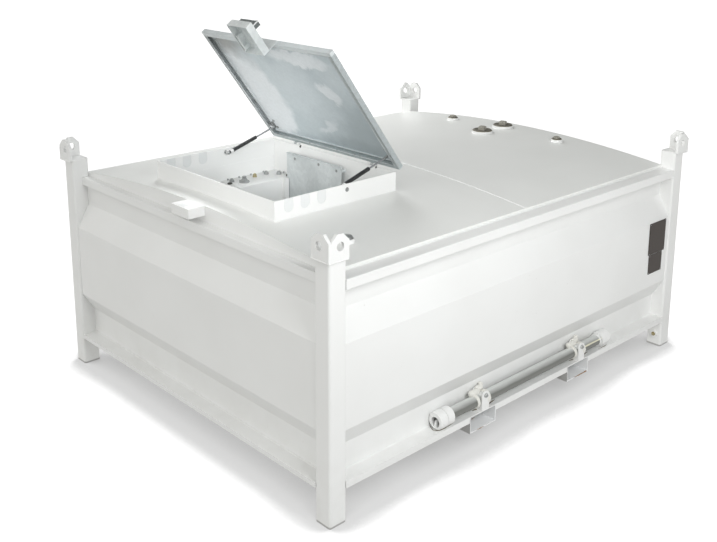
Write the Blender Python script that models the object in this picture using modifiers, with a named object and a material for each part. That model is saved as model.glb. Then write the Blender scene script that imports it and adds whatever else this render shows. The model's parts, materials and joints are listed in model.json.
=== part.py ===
"""Transportable bunded fuel tank: a low white steel box on four lifting posts.

Metres, +Z up.  The origin is on the ground under the middle of the tank.
+X runs along the long side, and the hatch is nearer the -X end.
"""
import math

import bmesh
import bpy
from mathutils import Matrix, Vector

# Driving dimensions
LENGTH = 2.90
WIDTH = 2.36
POST = 0.10
POST_TOP = 1.276
POST_CORNER = 0.012
CORNER_STEPS = 4
GAP = 0.0003
SHARP_DEG = 25
HALF_L = LENGTH / 2
HALF_W = WIDTH / 2
BAY_X = HALF_L - POST
BAY_Y = HALF_W - POST

# Frame rails
LOW_RAIL_BOTTOM = 0.166
LOW_RAIL_TOP = 0.200
END_LEDGE_TOP = 0.191
TOP_RAIL_BOTTOM = 1.118
TOP_RAIL_TOP = 1.168
END_RAIL_SET_BACK = 0.055
END_RAIL_DEPTH = 0.050
RAIL_CORNER = 0.005
SHEET = 0.006

# Swaged walls: offsets in from the posts' outer faces, and fold heights
WALL_SHEET = 0.005
RECESS = 0.083
PROUD = 0.010
FOLD_TOP = 1.000
FOLD_UPPER = 0.866
FOLD_LOWER = 0.450
FOLD_BOTTOM = 0.335

# Cambered roof
ROOF_EDGE_Y = 1.093
ROOF_EDGE_Z = 1.186
ROOF_CROWN_Z = 1.255
ROOF_END_X = BAY_X - GAP
ROOF_STEPS = 24
ROOF_END_INSET = 2 * GAP

# Fork pockets
POCKETS = (("left", -0.400), ("right", 0.4365))
POCKET_WIDTH = 0.206
POCKET_BOTTOM = 0.105
POCKET_TOP = LOW_RAIL_TOP - SHEET

# Lifting lugs
LUG_SHEET = 0.016
LUG_OVERLAP = 0.004
LUG_BOTTOM = 1.269
LUG_TOP = 1.390
LUG_CHAMFER = 0.036
LUG_FOOT_CHAMFER = 0.004
LUG_HOLE_Z = 1.334
LUG_HOLE_RADIUS = 0.021

# Hatch well
HATCH_LEFT = -1.225
HATCH_RIGHT = -0.405
HATCH_HALF_Y = 0.525
HATCH_TOP = 1.343
WELL_FLOOR = 0.700
SLOT_CENTRES = (-1.138, -1.0345, -0.927)
SLOT_WIDTH = 0.056
SLOT_DEPTH = 0.072
SLOT_SINK = 0.0015

# Fittings shelf and inner panel of the well
SHELF_LEFT = -0.81
SHELF_FRONT = 0.33
SHELF_TOP = 1.150
SHELF_POST_X = (-0.502, -0.473)
SHELF_POST_FRONT = 0.303
PANEL_FACE = -0.470
PANEL_Y = (-0.158, 0.323)
PANEL_Z = (0.76, 1.305)
PANEL_SHEET = 0.003
PANEL_FLANGE = 0.015
SPACER_RADIUS = 0.010
SPACER_IN = 0.035

# Threaded necks on the shelf: x, y, radius, height
SHELF_NECKS = (
    ("small_a", -0.752, 0.480, 0.014, 0.020),
    ("large", -0.722, 0.405, 0.032, 0.024),
    ("small_b", -0.597, 0.465, 0.015, 0.022),
    ("small_c", -0.516, 0.465, 0.014, 0.020),
    ("small_d", -0.455, 0.420, 0.014, 0.020),
)

# Lid, given closed and then swung open about its hinge
LID_OPEN_DEG = 53.5
HINGE_X = -0.392
HINGE_Z = 1.345
LID_RIGHT = -0.4035
LID_LENGTH = 0.835
LID_HALF_Y = 0.545
LID_BOTTOM = 1.3485
LID_DEPTH = 0.030
LID_SHEET = 0.003
LID_LIP = 0.022
HINGE_Y = 0.33
KNUCKLE_RADIUS = 0.008
KNUCKLE_ROOM = 0.002
PIN_RADIUS = 0.0035
KNUCKLE_LENGTH = 0.022
KNUCKLE_GAP = 0.001
LEAF_Z = (1.270, 1.332)
LEAF_SHEET = 0.004
LEAF_ARM = 0.012
FLAP_SHEET = 0.003

# Lock box on the lid's free edge and the latch bracket under it
LATCH_CENTRE_Y = -0.040
LATCH_HALF_Y = 0.077
LATCH_OUTER = -1.448
LATCH_Z = (1.204, 1.255)
LATCH_SHEET = 0.004
BOX_HALF_Y = 0.082
BOX_REACH = 0.190
BOX_TOP_DROP = 0.045
BOX_BOTTOM_DROP = 0.087
BOX_SHEET = 0.003
CUT_PAST = 0.020

# Gas struts
STRUT_Y = 0.489
STRUT_LOW = (-0.770, 1.320)
STRUT_HIGH = (-0.436, 1.425)
CYLINDER_RADIUS = 0.011
CYLINDER_START = 0.036
CYLINDER_END = 0.210
ROD_RADIUS = 0.005
ROD_BORE = 0.0056
ROD_START = 0.105
CYLINDER_BEVEL = 0.001
NECK_RADIUS = 0.005
ROD_SEAT = 0.036
ROD_END_SHORT = 0.006
STUD_RADIUS = 0.004
STUD_SIDE_GAP = 0.0035
EYE_RADIUS = 0.009
SOCKET_RADIUS = 0.008
EYE_BORE = 0.0043
EYE_HALF = 0.005
EYE_SIDE_GAP = 0.001

# Side pipe with its two saddles
PIPE_Z = 0.2505
PIPE_Y = -HALF_W + 0.034
PIPE_RADIUS = 0.0302
PIPE_X = (-0.632, 0.680)
COLLAR_RADIUS = 0.0465
COLLAR_LENGTH = 0.046
GROOVE_RADIUS = 0.044
GROOVE_WIDTH = 0.003
FITTING_RADIUS = 0.047
FITTING_LENGTH = 0.096
FITTING_NOSE_RADIUS = 0.041
RECESS_RADIUS = 0.0275
RECESS_DEPTH = 0.022
RECESS_DROP = 0.007
CAP_RADIUS = 0.042
CAP_LENGTH = 0.074
CAP_BEVEL = 0.006

# Saddles: two round-topped ears beside the pipe, with a bolt head on each
SADDLE_X = (-0.3865, 0.461)
SADDLE_HALF = 0.0285
SADDLE_TOP = 0.305
EAR_SHEET = 0.006
BOLT_Z = 0.282
BOLT_HEAD_RADIUS = 0.010
BOLT_HEAD = 0.007

# Round fittings on the roof: x, y, boss radius, height
ROOF_BOSSES = (
    ("roof_plug_small_back", 1.179, 0.483, 0.044, 0.030),
    ("roof_plug_large_left", 0.971, 0.034, 0.070, 0.030),
    ("roof_plug_large_right", 1.202, 0.046, 0.070, 0.030),
    ("roof_plug_small_front", 1.169, -0.430, 0.042, 0.030),
    ("roof_plug_corner", -1.098, -0.892, 0.042, 0.030),
)

BOSS_DEPTH = 0.050
PLUG_SHARE = 0.62
PLUG_HEAD_SHARE = 0.22
PLUG_RISE = 0.012
PLUG_SINK = 0.004
PLUG_HEAD_HEIGHT = 0.030

# Blank data plates on the front wall: x and z spans, thickness
DATA_PLATES = (
    ("data_plate_upper", (1.135, 1.313), (0.664, 0.864), 0.004),
    ("data_plate_lower", (1.147, 1.292), (0.538, 0.660), 0.003),
)

# Earth boss on a post's foot
EARTH_BOSS_RADIUS = 0.022
EARTH_BOSS_LENGTH = 0.014
EARTH_BOSS_Z = 0.078
EARTH_BOSS_IN = 0.045

# Finishes: colour, roughness, metallic
WHITE_PAINT = ((0.86, 0.86, 0.84, 1), 0.38, 0.0)
GALVANISED = ((0.62, 0.64, 0.65, 1), 0.38, 0.9)
STRUT_BLACK = ((0.02, 0.02, 0.02, 1), 0.35, 0.0)
STEEL_ROD = ((0.70, 0.71, 0.72, 1), 0.22, 1.0)
PLATE_BROWN = ((0.10, 0.07, 0.06, 1), 0.45, 0.0)


def clear_scene():
    """Take everything out of the open scene."""
    for obj in list(bpy.data.objects):
        bpy.data.objects.remove(obj, do_unlink=True)


def make_collection(name):
    """Make a collection in the open scene."""
    group = bpy.data.collections.new(name)
    bpy.context.scene.collection.children.link(group)
    return group


def finish_material(name, finish):
    """A Principled material of one sub-part."""
    colour, roughness, metallic = finish
    mat = bpy.data.materials.new(name + "_finish")
    mat.use_nodes = True
    shader = mat.node_tree.nodes["Principled BSDF"]
    shader.inputs["Base Color"].default_value = colour
    shader.inputs["Roughness"].default_value = roughness
    shader.inputs["Metallic"].default_value = metallic
    return mat


def add_part(name, mesh, finish):
    """Put a mesh in the tank's collection with its own material."""
    obj = bpy.data.objects.new(name, mesh)
    PARTS.objects.link(obj)
    mesh.materials.clear()
    mesh.materials.append(finish_material(name, finish))
    return obj


def mesh_from(name, bm):
    """Turn a bmesh into mesh data, smooth on its round faces only."""
    mesh = bpy.data.meshes.new(name)
    bm.to_mesh(mesh)
    bm.free()
    mesh.shade_smooth()
    mesh.set_sharp_from_angle(angle=math.radians(SHARP_DEG))
    return mesh


def box_bmesh(low, high):
    """A closed box between two corners."""
    low, high = Vector(low), Vector(high)
    bm = bmesh.new()
    place = Matrix.Translation((low + high) / 2) @ Matrix.Diagonal((*(high - low), 1))
    bmesh.ops.create_cube(bm, size=1, matrix=place)
    return bm


def block(name, low, high, finish, round_axis=None, radius=0.0):
    """A bar or plate, with the edges along one axis rounded when asked."""
    bm = box_bmesh(low, high)
    if round_axis is not None:
        across = [axis for axis in range(3) if axis != round_axis]
        edges = [edge for edge in bm.edges
                 if all(abs(edge.verts[0].co[a] - edge.verts[1].co[a]) < 1e-6 for a in across)]
        bmesh.ops.bevel(bm, geom=edges, offset=radius, segments=CORNER_STEPS, profile=0.5, affect="EDGES")
    return add_part(name, mesh_from(name, bm), finish)


def cylinder_bmesh(radius, low, high, segments=24):
    """A closed cylinder along Z between two heights."""
    bm = bmesh.new()
    place = Matrix.Translation((0, 0, (low + high) / 2))
    bmesh.ops.create_cone(bm, cap_ends=True, segments=segments, radius1=radius, radius2=radius,
                          depth=high - low, matrix=place)
    return bm


def as_cutter(name, bm, place=None):
    """Keep a tool shape for a Boolean, out of the tank's own collection."""
    mesh = bpy.data.meshes.new(name)
    bm.to_mesh(mesh)
    bm.free()
    tool = bpy.data.objects.new(name, mesh)
    CUTTERS.objects.link(tool)
    tool.hide_render = True
    tool.display_type = "WIRE"
    if place is not None:
        tool.matrix_world = place
    return tool


def boolean(obj, tool, operation):
    """Cut a tool out of an object, or join it on."""
    modifier = obj.modifiers.new(operation.lower(), "BOOLEAN")
    modifier.operation = operation
    modifier.solver = "EXACT"
    modifier.object = tool


def circle_points(cx, cy, radius, count=24, start=0.0, turn=360.0):
    """Points on a circle or an arc, in order."""
    steps = count if turn == 360.0 else count + 1
    return [(cx + radius * math.cos(math.radians(start + turn * i / count)),
             cy + radius * math.sin(math.radians(start + turn * i / count))) for i in range(steps)]


def outline_mesh(name, outlines, low, high, frame):
    """Fill flat outlines, with holes inside the first, and give them a thickness.

    frame's columns are the outline's first and second axis and its normal.
    """
    curve = bpy.data.curves.new(name, "CURVE")
    curve.dimensions = "2D"
    curve.fill_mode = "BOTH"
    curve.extrude = (high - low) / 2
    for outline in outlines:
        spline = curve.splines.new("POLY")
        spline.points.add(len(outline) - 1)
        for point, (a, b) in zip(spline.points, outline):
            point.co = (a, b, 0, 1)
        spline.use_cyclic_u = True
    holder = bpy.data.objects.new(name + "_outline", curve)
    CUTTERS.objects.link(holder)
    bpy.context.view_layer.update()
    depsgraph = bpy.context.evaluated_depsgraph_get()
    mesh = bpy.data.meshes.new_from_object(holder.evaluated_get(depsgraph))
    bpy.data.objects.remove(holder, do_unlink=True)
    bm = bmesh.new()
    bm.from_mesh(mesh)
    bmesh.ops.remove_doubles(bm, verts=bm.verts, dist=0.00001)
    place = frame @ Matrix.Translation((0, 0, (low + high) / 2))
    bmesh.ops.transform(bm, matrix=place, verts=bm.verts)
    bmesh.ops.recalc_face_normals(bm, faces=bm.faces)
    return bm


# Outline frames: (x, z) drawings extruded along Y, and (y, z) drawings extruded along X
XZ_FRAME = Matrix(((1, 0, 0, 0), (0, 0, 1, 0), (0, 1, 0, 0), (0, 0, 0, 1)))
YZ_FRAME = Matrix(((0, 0, 1, 0), (1, 0, 0, 0), (0, 1, 0, 0), (0, 0, 0, 1)))


def plate(name, outlines, low, high, frame, finish):
    """A flat plate or a long section drawn as an outline."""
    return add_part(name, mesh_from(name, outline_mesh(name, outlines, low, high, frame)), finish)


CORNERS = (("front_left", -1, -1), ("front_right", 1, -1), ("back_left", -1, 1), ("back_right", 1, 1))


def make_posts():
    """Four square corner posts, from the ground to above the roof."""
    for corner, sx, sy in CORNERS:
        xs = sorted((sx * HALF_L, sx * BAY_X))
        ys = sorted((sy * HALF_W, sy * BAY_Y))
        block("post_" + corner, (xs[0], ys[0], 0), (xs[1], ys[1], POST_TOP), WHITE_PAINT,
              round_axis=2, radius=POST_CORNER)


def lug_outline(inner, outer):
    """Lug plate seen flat: chamfered top corners and a small cut at the inner foot."""
    side = 1 if outer > inner else -1
    return [(inner + side * LUG_FOOT_CHAMFER, LUG_BOTTOM), (outer, LUG_BOTTOM),
            (outer, LUG_TOP - LUG_CHAMFER), (outer - side * LUG_CHAMFER, LUG_TOP),
            (inner + side * LUG_CHAMFER, LUG_TOP), (inner, LUG_TOP - LUG_CHAMFER),
            (inner, LUG_BOTTOM + LUG_FOOT_CHAMFER)]


def make_lugs():
    """Two drilled lifting plates on each post's outer faces, welded at the corner."""
    for corner, sx, sy in CORNERS:
        name = "lifting_lug_" + corner
        outer_y = sy * (HALF_W + GAP + LUG_SHEET)
        hole = circle_points(sy * (BAY_Y + POST / 2), LUG_HOLE_Z, LUG_HOLE_RADIUS)
        span = sorted((sx * (HALF_L + GAP), sx * (HALF_L + GAP + LUG_SHEET)))
        lug = plate(name, [lug_outline(sy * BAY_Y, outer_y), hole], *span, YZ_FRAME, WHITE_PAINT)
        hole = circle_points(sx * (BAY_X + POST / 2), LUG_HOLE_Z, LUG_HOLE_RADIUS)
        span = sorted((sy * (HALF_W + GAP), outer_y))
        reach = sx * (HALF_L + GAP + LUG_OVERLAP)
        tool = outline_mesh(name + "_side", [lug_outline(sx * BAY_X, reach), hole], *span, XZ_FRAME)
        boolean(lug, as_cutter(name + "_side", tool), "UNION")


def make_low_rails():
    """Bottom rails flush with the posts, notched over the fork pockets."""
    half = POCKET_WIDTH / 2 + GAP
    outline = [(-BAY_X + GAP, LOW_RAIL_TOP), (-BAY_X + GAP, LOW_RAIL_BOTTOM)]
    for _, centre in POCKETS:
        outline += [(centre - half, LOW_RAIL_BOTTOM), (centre - half, POCKET_TOP + GAP),
                    (centre + half, POCKET_TOP + GAP), (centre + half, LOW_RAIL_BOTTOM)]
    outline += [(BAY_X - GAP, LOW_RAIL_BOTTOM), (BAY_X - GAP, LOW_RAIL_TOP)]
    plate("low_rail_front", [outline], -HALF_W, -BAY_Y, XZ_FRAME, WHITE_PAINT)
    plate("low_rail_back", [outline], BAY_Y, HALF_W, XZ_FRAME, WHITE_PAINT)
    for side, sx in (("left", -1), ("right", 1)):
        xs = sorted((sx * HALF_L, sx * BAY_X))
        block("low_rail_" + side, (xs[0], -BAY_Y + GAP, LOW_RAIL_BOTTOM),
              (xs[1], BAY_Y - GAP, END_LEDGE_TOP), WHITE_PAINT)


def make_top_rails():
    """Top rails: flush on the long sides, set back at the two ends."""
    for side, sy in (("front", -1), ("back", 1)):
        ys = sorted((sy * HALF_W, sy * BAY_Y))
        block("top_rail_" + side, (-BAY_X + GAP, ys[0], TOP_RAIL_BOTTOM),
              (BAY_X - GAP, ys[1], TOP_RAIL_TOP), WHITE_PAINT, round_axis=0, radius=RAIL_CORNER)
    for side, sx in (("left", -1), ("right", 1)):
        outer = HALF_L - END_RAIL_SET_BACK
        xs = sorted((sx * outer, sx * (outer - END_RAIL_DEPTH)))
        block("top_rail_" + side, (xs[0], -BAY_Y + GAP, TOP_RAIL_BOTTOM),
              (xs[1], BAY_Y - GAP, TOP_RAIL_TOP), WHITE_PAINT, round_axis=1, radius=RAIL_CORNER)


def wall_outline(outer, foot):
    """The swaged wall's section on the side whose posts end at outer, down to its foot."""
    side = 1 if outer > 0 else -1
    face = abs(outer)
    fold = [(RECESS, TOP_RAIL_BOTTOM - GAP), (RECESS, FOLD_TOP), (PROUD, FOLD_UPPER),
            (PROUD, FOLD_LOWER), (RECESS, FOLD_BOTTOM), (RECESS, foot + GAP)]
    skin = [(side * (face - depth), z) for depth, z in fold]
    back = [(side * (face - depth - WALL_SHEET), z) for depth, z in fold]
    return skin + back[::-1]


def make_walls():
    """Four outer walls of folded sheet, proud in the middle band."""
    for side, sy in (("front", -1), ("back", 1)):
        plate("wall_" + side, [wall_outline(sy * HALF_W, LOW_RAIL_TOP)], -BAY_X + GAP, BAY_X - GAP, YZ_FRAME,
              WHITE_PAINT)
    for side, sx in (("left", -1), ("right", 1)):
        plate("wall_" + side, [wall_outline(sx * HALF_L, END_LEDGE_TOP)], -BAY_Y + GAP, BAY_Y - GAP, XZ_FRAME,
              WHITE_PAINT)


def make_base():
    """The bund's floor sheet, between the bottom rails."""
    block("base_sheet", (-BAY_X + GAP, -BAY_Y + GAP, POCKET_TOP + GAP),
          (BAY_X - GAP, BAY_Y - GAP, LOW_RAIL_TOP), WHITE_PAINT)


def make_fork_pockets():
    """Two open channels under the tank, from side to side."""
    for side, centre in POCKETS:
        low = centre - POCKET_WIDTH / 2
        high = centre + POCKET_WIDTH / 2
        outline = [(low, POCKET_TOP), (low, POCKET_BOTTOM), (high, POCKET_BOTTOM), (high, POCKET_TOP),
                   (high - SHEET, POCKET_TOP), (high - SHEET, POCKET_BOTTOM + SHEET),
                   (low + SHEET, POCKET_BOTTOM + SHEET), (low + SHEET, POCKET_TOP)]
        plate("fork_pocket_" + side, [outline], -HALF_W, HALF_W, XZ_FRAME, WHITE_PAINT)


def roof_height(y):
    """Height of the cambered roof's top face."""
    rise = ROOF_CROWN_Z - ROOF_EDGE_Z
    return ROOF_CROWN_Z - rise * (y / ROOF_EDGE_Y) ** 2


def roof_arc(drop, reach):
    """Points across the roof, at a depth below its top face."""
    return [(reach * (2 * i / ROOF_STEPS - 1), roof_height(reach * (2 * i / ROOF_STEPS - 1)) - drop)
            for i in range(ROOF_STEPS + 1)]


def make_roof():
    """Cambered roof in two sheets that meet at the middle seam, and its end plates."""
    top = roof_arc(0, ROOF_EDGE_Y)
    under = roof_arc(SHEET, ROOF_EDGE_Y - SHEET)
    foot = TOP_RAIL_TOP + GAP
    outline = ([(-ROOF_EDGE_Y, foot)] + top + [(ROOF_EDGE_Y, foot), (ROOF_EDGE_Y - SHEET, foot)]
               + under[::-1] + [(-ROOF_EDGE_Y + SHEET, foot)])
    left = plate("roof_left", [outline], -ROOF_END_X, -GAP / 2, YZ_FRAME, WHITE_PAINT)
    plate("roof_right", [outline], GAP / 2, ROOF_END_X, YZ_FRAME, WHITE_PAINT)
    hole = box_bmesh((HATCH_LEFT - GAP, -HATCH_HALF_Y - GAP, TOP_RAIL_BOTTOM),
                     (HATCH_RIGHT + GAP, HATCH_HALF_Y + GAP, LUG_TOP))
    boolean(left, as_cutter("hatch_hole", hole), "DIFFERENCE")
    reach = ROOF_EDGE_Y - SHEET - ROOF_END_INSET
    end_outline = [(-reach, foot)] + roof_arc(SHEET + GAP, reach) + [(reach, foot)]
    for side, sx in (("left", -1), ("right", 1)):
        xs = sorted((sx * ROOF_END_X, sx * (ROOF_END_X - SHEET)))
        plate("roof_end_" + side, [end_outline], *xs, YZ_FRAME, WHITE_PAINT)


def slot_outlines():
    """Three U-shaped slots, open at the top edge of a long side of the well."""
    radius = SLOT_WIDTH / 2
    deep = HATCH_TOP - SLOT_DEPTH + radius
    above = HATCH_TOP + CUT_PAST
    outlines = []
    for centre in SLOT_CENTRES:
        bow = circle_points(centre, deep, radius, 10, 180, 180)
        outlines.append([(centre - radius, above)] + bow + [(centre + radius, above)])
    return outlines


def make_hatch_side(side, sy):
    """A long side of the well, with three slots sunk in both faces and a thin web left in each."""
    faces = sorted((sy * HATCH_HALF_Y, sy * (HATCH_HALF_Y - WALL_SHEET)))
    name = "hatch_wall_" + side
    wall = block(name, (HATCH_LEFT, faces[0], WELL_FLOOR), (HATCH_RIGHT, faces[1], HATCH_TOP), WHITE_PAINT)
    for label, low, high in (("low", faces[0] - SLOT_SINK, faces[0] + SLOT_SINK),
                             ("high", faces[1] - SLOT_SINK, faces[1] + SLOT_SINK)):
        tool = outline_mesh(name + "_slots_" + label, slot_outlines(), low, high, XZ_FRAME)
        boolean(wall, as_cutter(name + "_slots_" + label, tool), "DIFFERENCE")


def make_hatch():
    """Walls and floor of the equipment well; the walls stand above the roof as a coaming."""
    sheet = WALL_SHEET
    make_hatch_side("front", -1)
    make_hatch_side("back", 1)
    inner_y = HATCH_HALF_Y - sheet - GAP
    block("hatch_wall_left", (HATCH_LEFT, -inner_y, WELL_FLOOR), (HATCH_LEFT + sheet, inner_y, HATCH_TOP),
          WHITE_PAINT)
    block("hatch_wall_right", (HATCH_RIGHT - sheet, -inner_y, WELL_FLOOR),
          (HATCH_RIGHT, inner_y, HATCH_TOP), WHITE_PAINT)
    block("well_floor", (HATCH_LEFT, -HATCH_HALF_Y, WELL_FLOOR - GAP - SHEET),
          (HATCH_RIGHT, HATCH_HALF_Y, WELL_FLOOR - GAP), WHITE_PAINT)


def make_shelf():
    """Stepped-up tank top inside the well, with a corner post and the necks of its fittings."""
    right = HATCH_RIGHT - WALL_SHEET - GAP
    back = HATCH_HALF_Y - WALL_SHEET - GAP
    shelf = block("fittings_shelf", (SHELF_LEFT, SHELF_FRONT, WELL_FLOOR + GAP), (right, back, SHELF_TOP),
                  WHITE_PAINT)
    hollow = box_bmesh((SHELF_LEFT + SHEET, SHELF_FRONT + SHEET, WELL_FLOOR - CUT_PAST),
                       (right + CUT_PAST, back + CUT_PAST, SHELF_TOP - SHEET))
    boolean(shelf, as_cutter("shelf_hollow", hollow), "DIFFERENCE")
    post = box_bmesh((SHELF_POST_X[0], SHELF_POST_FRONT, WELL_FLOOR + GAP),
                     (SHELF_POST_X[1], SHELF_FRONT + SHEET / 2, SHELF_TOP))
    boolean(shelf, as_cutter("shelf_post", post), "UNION")
    for label, x, y, radius, height in SHELF_NECKS:
        neck = cylinder_bmesh(radius, SHELF_TOP - SHEET / 2, SHELF_TOP + height, 16)
        tool = as_cutter("neck_" + label, neck, Matrix.Translation((x, y, 0)))
        boolean(shelf, tool, "UNION")


def make_inner_panel():
    """Galvanised panel that stands off the well's right wall on four spacers."""
    wall = HATCH_RIGHT - WALL_SHEET - GAP
    back = PANEL_FACE + PANEL_SHEET
    panel = block("inner_panel", (PANEL_FACE, PANEL_Y[0], PANEL_Z[0]), (back, PANEL_Y[1], PANEL_Z[1]),
                  GALVANISED)
    flange = box_bmesh((PANEL_FACE + PANEL_SHEET / 2, PANEL_Y[0], PANEL_Z[1] - PANEL_SHEET),
                       (PANEL_FACE + PANEL_FLANGE, PANEL_Y[1], PANEL_Z[1]))
    boolean(panel, as_cutter("panel_flange", flange), "UNION")
    turn = Matrix.Rotation(math.radians(90), 4, "Y")
    spots = [(y, z) for y in (PANEL_Y[0] + SPACER_IN, PANEL_Y[1] - SPACER_IN)
             for z in (PANEL_Z[0] + SPACER_IN, PANEL_Z[1] - SPACER_IN)]
    for number, (y, z) in enumerate(spots):
        spacer = cylinder_bmesh(SPACER_RADIUS, PANEL_FACE + PANEL_SHEET / 2, wall, 16)
        tool = as_cutter("panel_spacer_%d" % number, spacer, Matrix.Translation((0, y, z)) @ turn)
        boolean(panel, tool, "UNION")


def open_lid(obj):
    """Hang a piece drawn in the closed position, and its tools, on the opened hinge."""
    for piece in (obj, *(modifier.object for modifier in obj.modifiers)):
        piece.parent = LID_HINGE
        piece.matrix_parent_inverse = Matrix.Translation((-HINGE_X, 0, -HINGE_Z))


def make_lid_hinge():
    """The empty on the lid's hinge line, turned to the open position."""
    hinge = bpy.data.objects.new("lid_hinge_line", None)
    PARTS.objects.link(hinge)
    hinge.location = (HINGE_X, 0, HINGE_Z)
    hinge.rotation_euler = (0, math.radians(LID_OPEN_DEG), 0)
    return hinge


def make_lid():
    """Shallow pan of sheet with a lip turned in all round, and its strut studs."""
    left = LID_RIGHT - LID_LENGTH
    top = LID_BOTTOM + LID_DEPTH
    lid = block("lid", (left, -LID_HALF_Y, LID_BOTTOM), (LID_RIGHT, LID_HALF_Y, top), GALVANISED)
    wall = LID_SHEET
    hollow = box_bmesh((left + wall, -LID_HALF_Y + wall, LID_BOTTOM + wall),
                       (LID_RIGHT - wall, LID_HALF_Y - wall, top - wall))
    mouth = box_bmesh((left + LID_LIP, -LID_HALF_Y + LID_LIP, LID_BOTTOM - CUT_PAST),
                      (LID_RIGHT - LID_LIP, LID_HALF_Y - LID_LIP, top - 2 * wall))
    boolean(lid, as_cutter("lid_hollow", hollow), "DIFFERENCE")
    boolean(lid, as_cutter("lid_mouth", mouth), "DIFFERENCE")
    stud_x, stud_z = closed_point(STRUT_HIGH)
    for sy in (-1, 1):
        span = sorted((sy * (STRUT_Y + EYE_HALF + STUD_SIDE_GAP), sy * (LID_HALF_Y - wall / 2)))
        stud = cylinder_bmesh(STUD_RADIUS, *span, 16)
        place = Matrix.Translation((stud_x, 0, stud_z)) @ Matrix.Rotation(math.radians(-90), 4, "X")
        boolean(lid, as_cutter("lid_stud", stud, place), "UNION")
    open_lid(lid)


def closed_point(point):
    """Where an (x, z) point of the open lid lies when the lid is closed."""
    angle = math.radians(LID_OPEN_DEG)
    dx = point[0] - HINGE_X
    dz = point[1] - HINGE_Z
    return (HINGE_X + dx * math.cos(angle) - dz * math.sin(angle),
            HINGE_Z + dx * math.sin(angle) + dz * math.cos(angle))


def make_lock_box():
    """Open-bottomed padlock guard that reaches out past the lid's free edge."""
    near = LID_RIGHT - LID_LENGTH - GAP
    far = near - BOX_REACH
    top = LID_BOTTOM - BOX_TOP_DROP
    bottom = LID_BOTTOM - BOX_BOTTOM_DROP
    sheet = BOX_SHEET
    low_y = LATCH_CENTRE_Y - BOX_HALF_Y
    high_y = LATCH_CENTRE_Y + BOX_HALF_Y
    guard = block("lock_box", (far, low_y, bottom), (near, high_y, top), GALVANISED)
    hollow = box_bmesh((far + sheet, low_y + sheet, bottom - CUT_PAST),
                       (near - sheet, high_y - sheet, top - sheet))
    boolean(guard, as_cutter("lock_hollow", hollow), "DIFFERENCE")
    back = box_bmesh((near - sheet, low_y, bottom + sheet),
                     (near, high_y, LID_BOTTOM + LID_DEPTH - sheet))
    boolean(guard, as_cutter("lock_back_plate", back), "UNION")
    open_lid(guard)


def make_hinge_leaf(side, y, place):
    """A hinge's fixed leaf on the well wall, with two ring knuckles."""
    name = "hinge_leaf_" + side
    low_y = y - 1.5 * KNUCKLE_LENGTH
    high_y = y + 1.5 * KNUCKLE_LENGTH
    face = HATCH_RIGHT + GAP
    half_sheet = LEAF_SHEET / 2
    leaf = block(name, (face, low_y, LEAF_Z[0]), (face + LEAF_SHEET, high_y, LEAF_Z[1]), WHITE_PAINT)
    web = box_bmesh((face + half_sheet, low_y, LEAF_Z[1] - LEAF_ARM),
                    (HINGE_X + KNUCKLE_RADIUS - half_sheet, high_y, LEAF_Z[1]))
    neck = box_bmesh((HINGE_X - LEAF_SHEET, low_y, LEAF_Z[1] - LEAF_SHEET),
                     (HINGE_X + LEAF_SHEET, high_y, HINGE_Z - KNUCKLE_RADIUS / 2))
    barrel = cylinder_bmesh(KNUCKLE_RADIUS, low_y - y, high_y - y, 20)
    reach = KNUCKLE_LENGTH / 2 + KNUCKLE_GAP
    room = cylinder_bmesh(KNUCKLE_RADIUS + KNUCKLE_ROOM, -reach, reach, 20)
    bore = cylinder_bmesh(PIN_RADIUS + GAP, -2 * KNUCKLE_LENGTH, 2 * KNUCKLE_LENGTH, 16)
    boolean(leaf, as_cutter(name + "_web", web), "UNION")
    boolean(leaf, as_cutter(name + "_neck", neck), "UNION")
    boolean(leaf, as_cutter(name + "_barrel", barrel, place), "UNION")
    boolean(leaf, as_cutter(name + "_room", room, place), "DIFFERENCE")
    boolean(leaf, as_cutter(name + "_bore", bore, place), "DIFFERENCE")


def make_lid_flap(side, y, place):
    """A hinge's moving flap on the lid, with the middle knuckle and the pin."""
    name = "lid_hinge_" + side
    half = KNUCKLE_LENGTH / 2
    face = LID_RIGHT + GAP
    arm_top = LID_BOTTOM + LEAF_SHEET
    flap = block(name, (face, y - half, arm_top),
                 (face + FLAP_SHEET, y + half, LID_BOTTOM + LID_DEPTH - FLAP_SHEET), GALVANISED)
    arm = box_bmesh((face + FLAP_SHEET / 2, y - half, LID_BOTTOM + GAP),
                    (HINGE_X + FLAP_SHEET, y + half, arm_top + GAP))
    knuckle = cylinder_bmesh(KNUCKLE_RADIUS, -half, half, 20)
    pin = cylinder_bmesh(PIN_RADIUS, -3 * half, 3 * half, 16)
    boolean(flap, as_cutter(name + "_arm", arm), "UNION")
    boolean(flap, as_cutter(name + "_knuckle", knuckle, place), "UNION")
    boolean(flap, as_cutter(name + "_pin", pin, place), "UNION")
    open_lid(flap)


def make_lid_hinges():
    """Two butt hinges: ring knuckles on the well wall, a pinned knuckle on the lid."""
    for side, y in (("front", -HINGE_Y), ("back", HINGE_Y)):
        place = Matrix.Translation((HINGE_X, y, HINGE_Z)) @ Matrix.Rotation(math.radians(-90), 4, "X")
        make_hinge_leaf(side, y, place)
        make_lid_flap(side, y, place)


def strut_frame(sy):
    """Placement of a strut: Z runs from its low eye to its high end."""
    reach = STRUT_HIGH[0] - STRUT_LOW[0]
    rise = STRUT_HIGH[1] - STRUT_LOW[1]
    place = Matrix.Translation((STRUT_LOW[0], sy * STRUT_Y, STRUT_LOW[1]))
    return place @ Matrix.Rotation(math.atan2(reach, rise), 4, "Y"), math.hypot(reach, rise)


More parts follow.
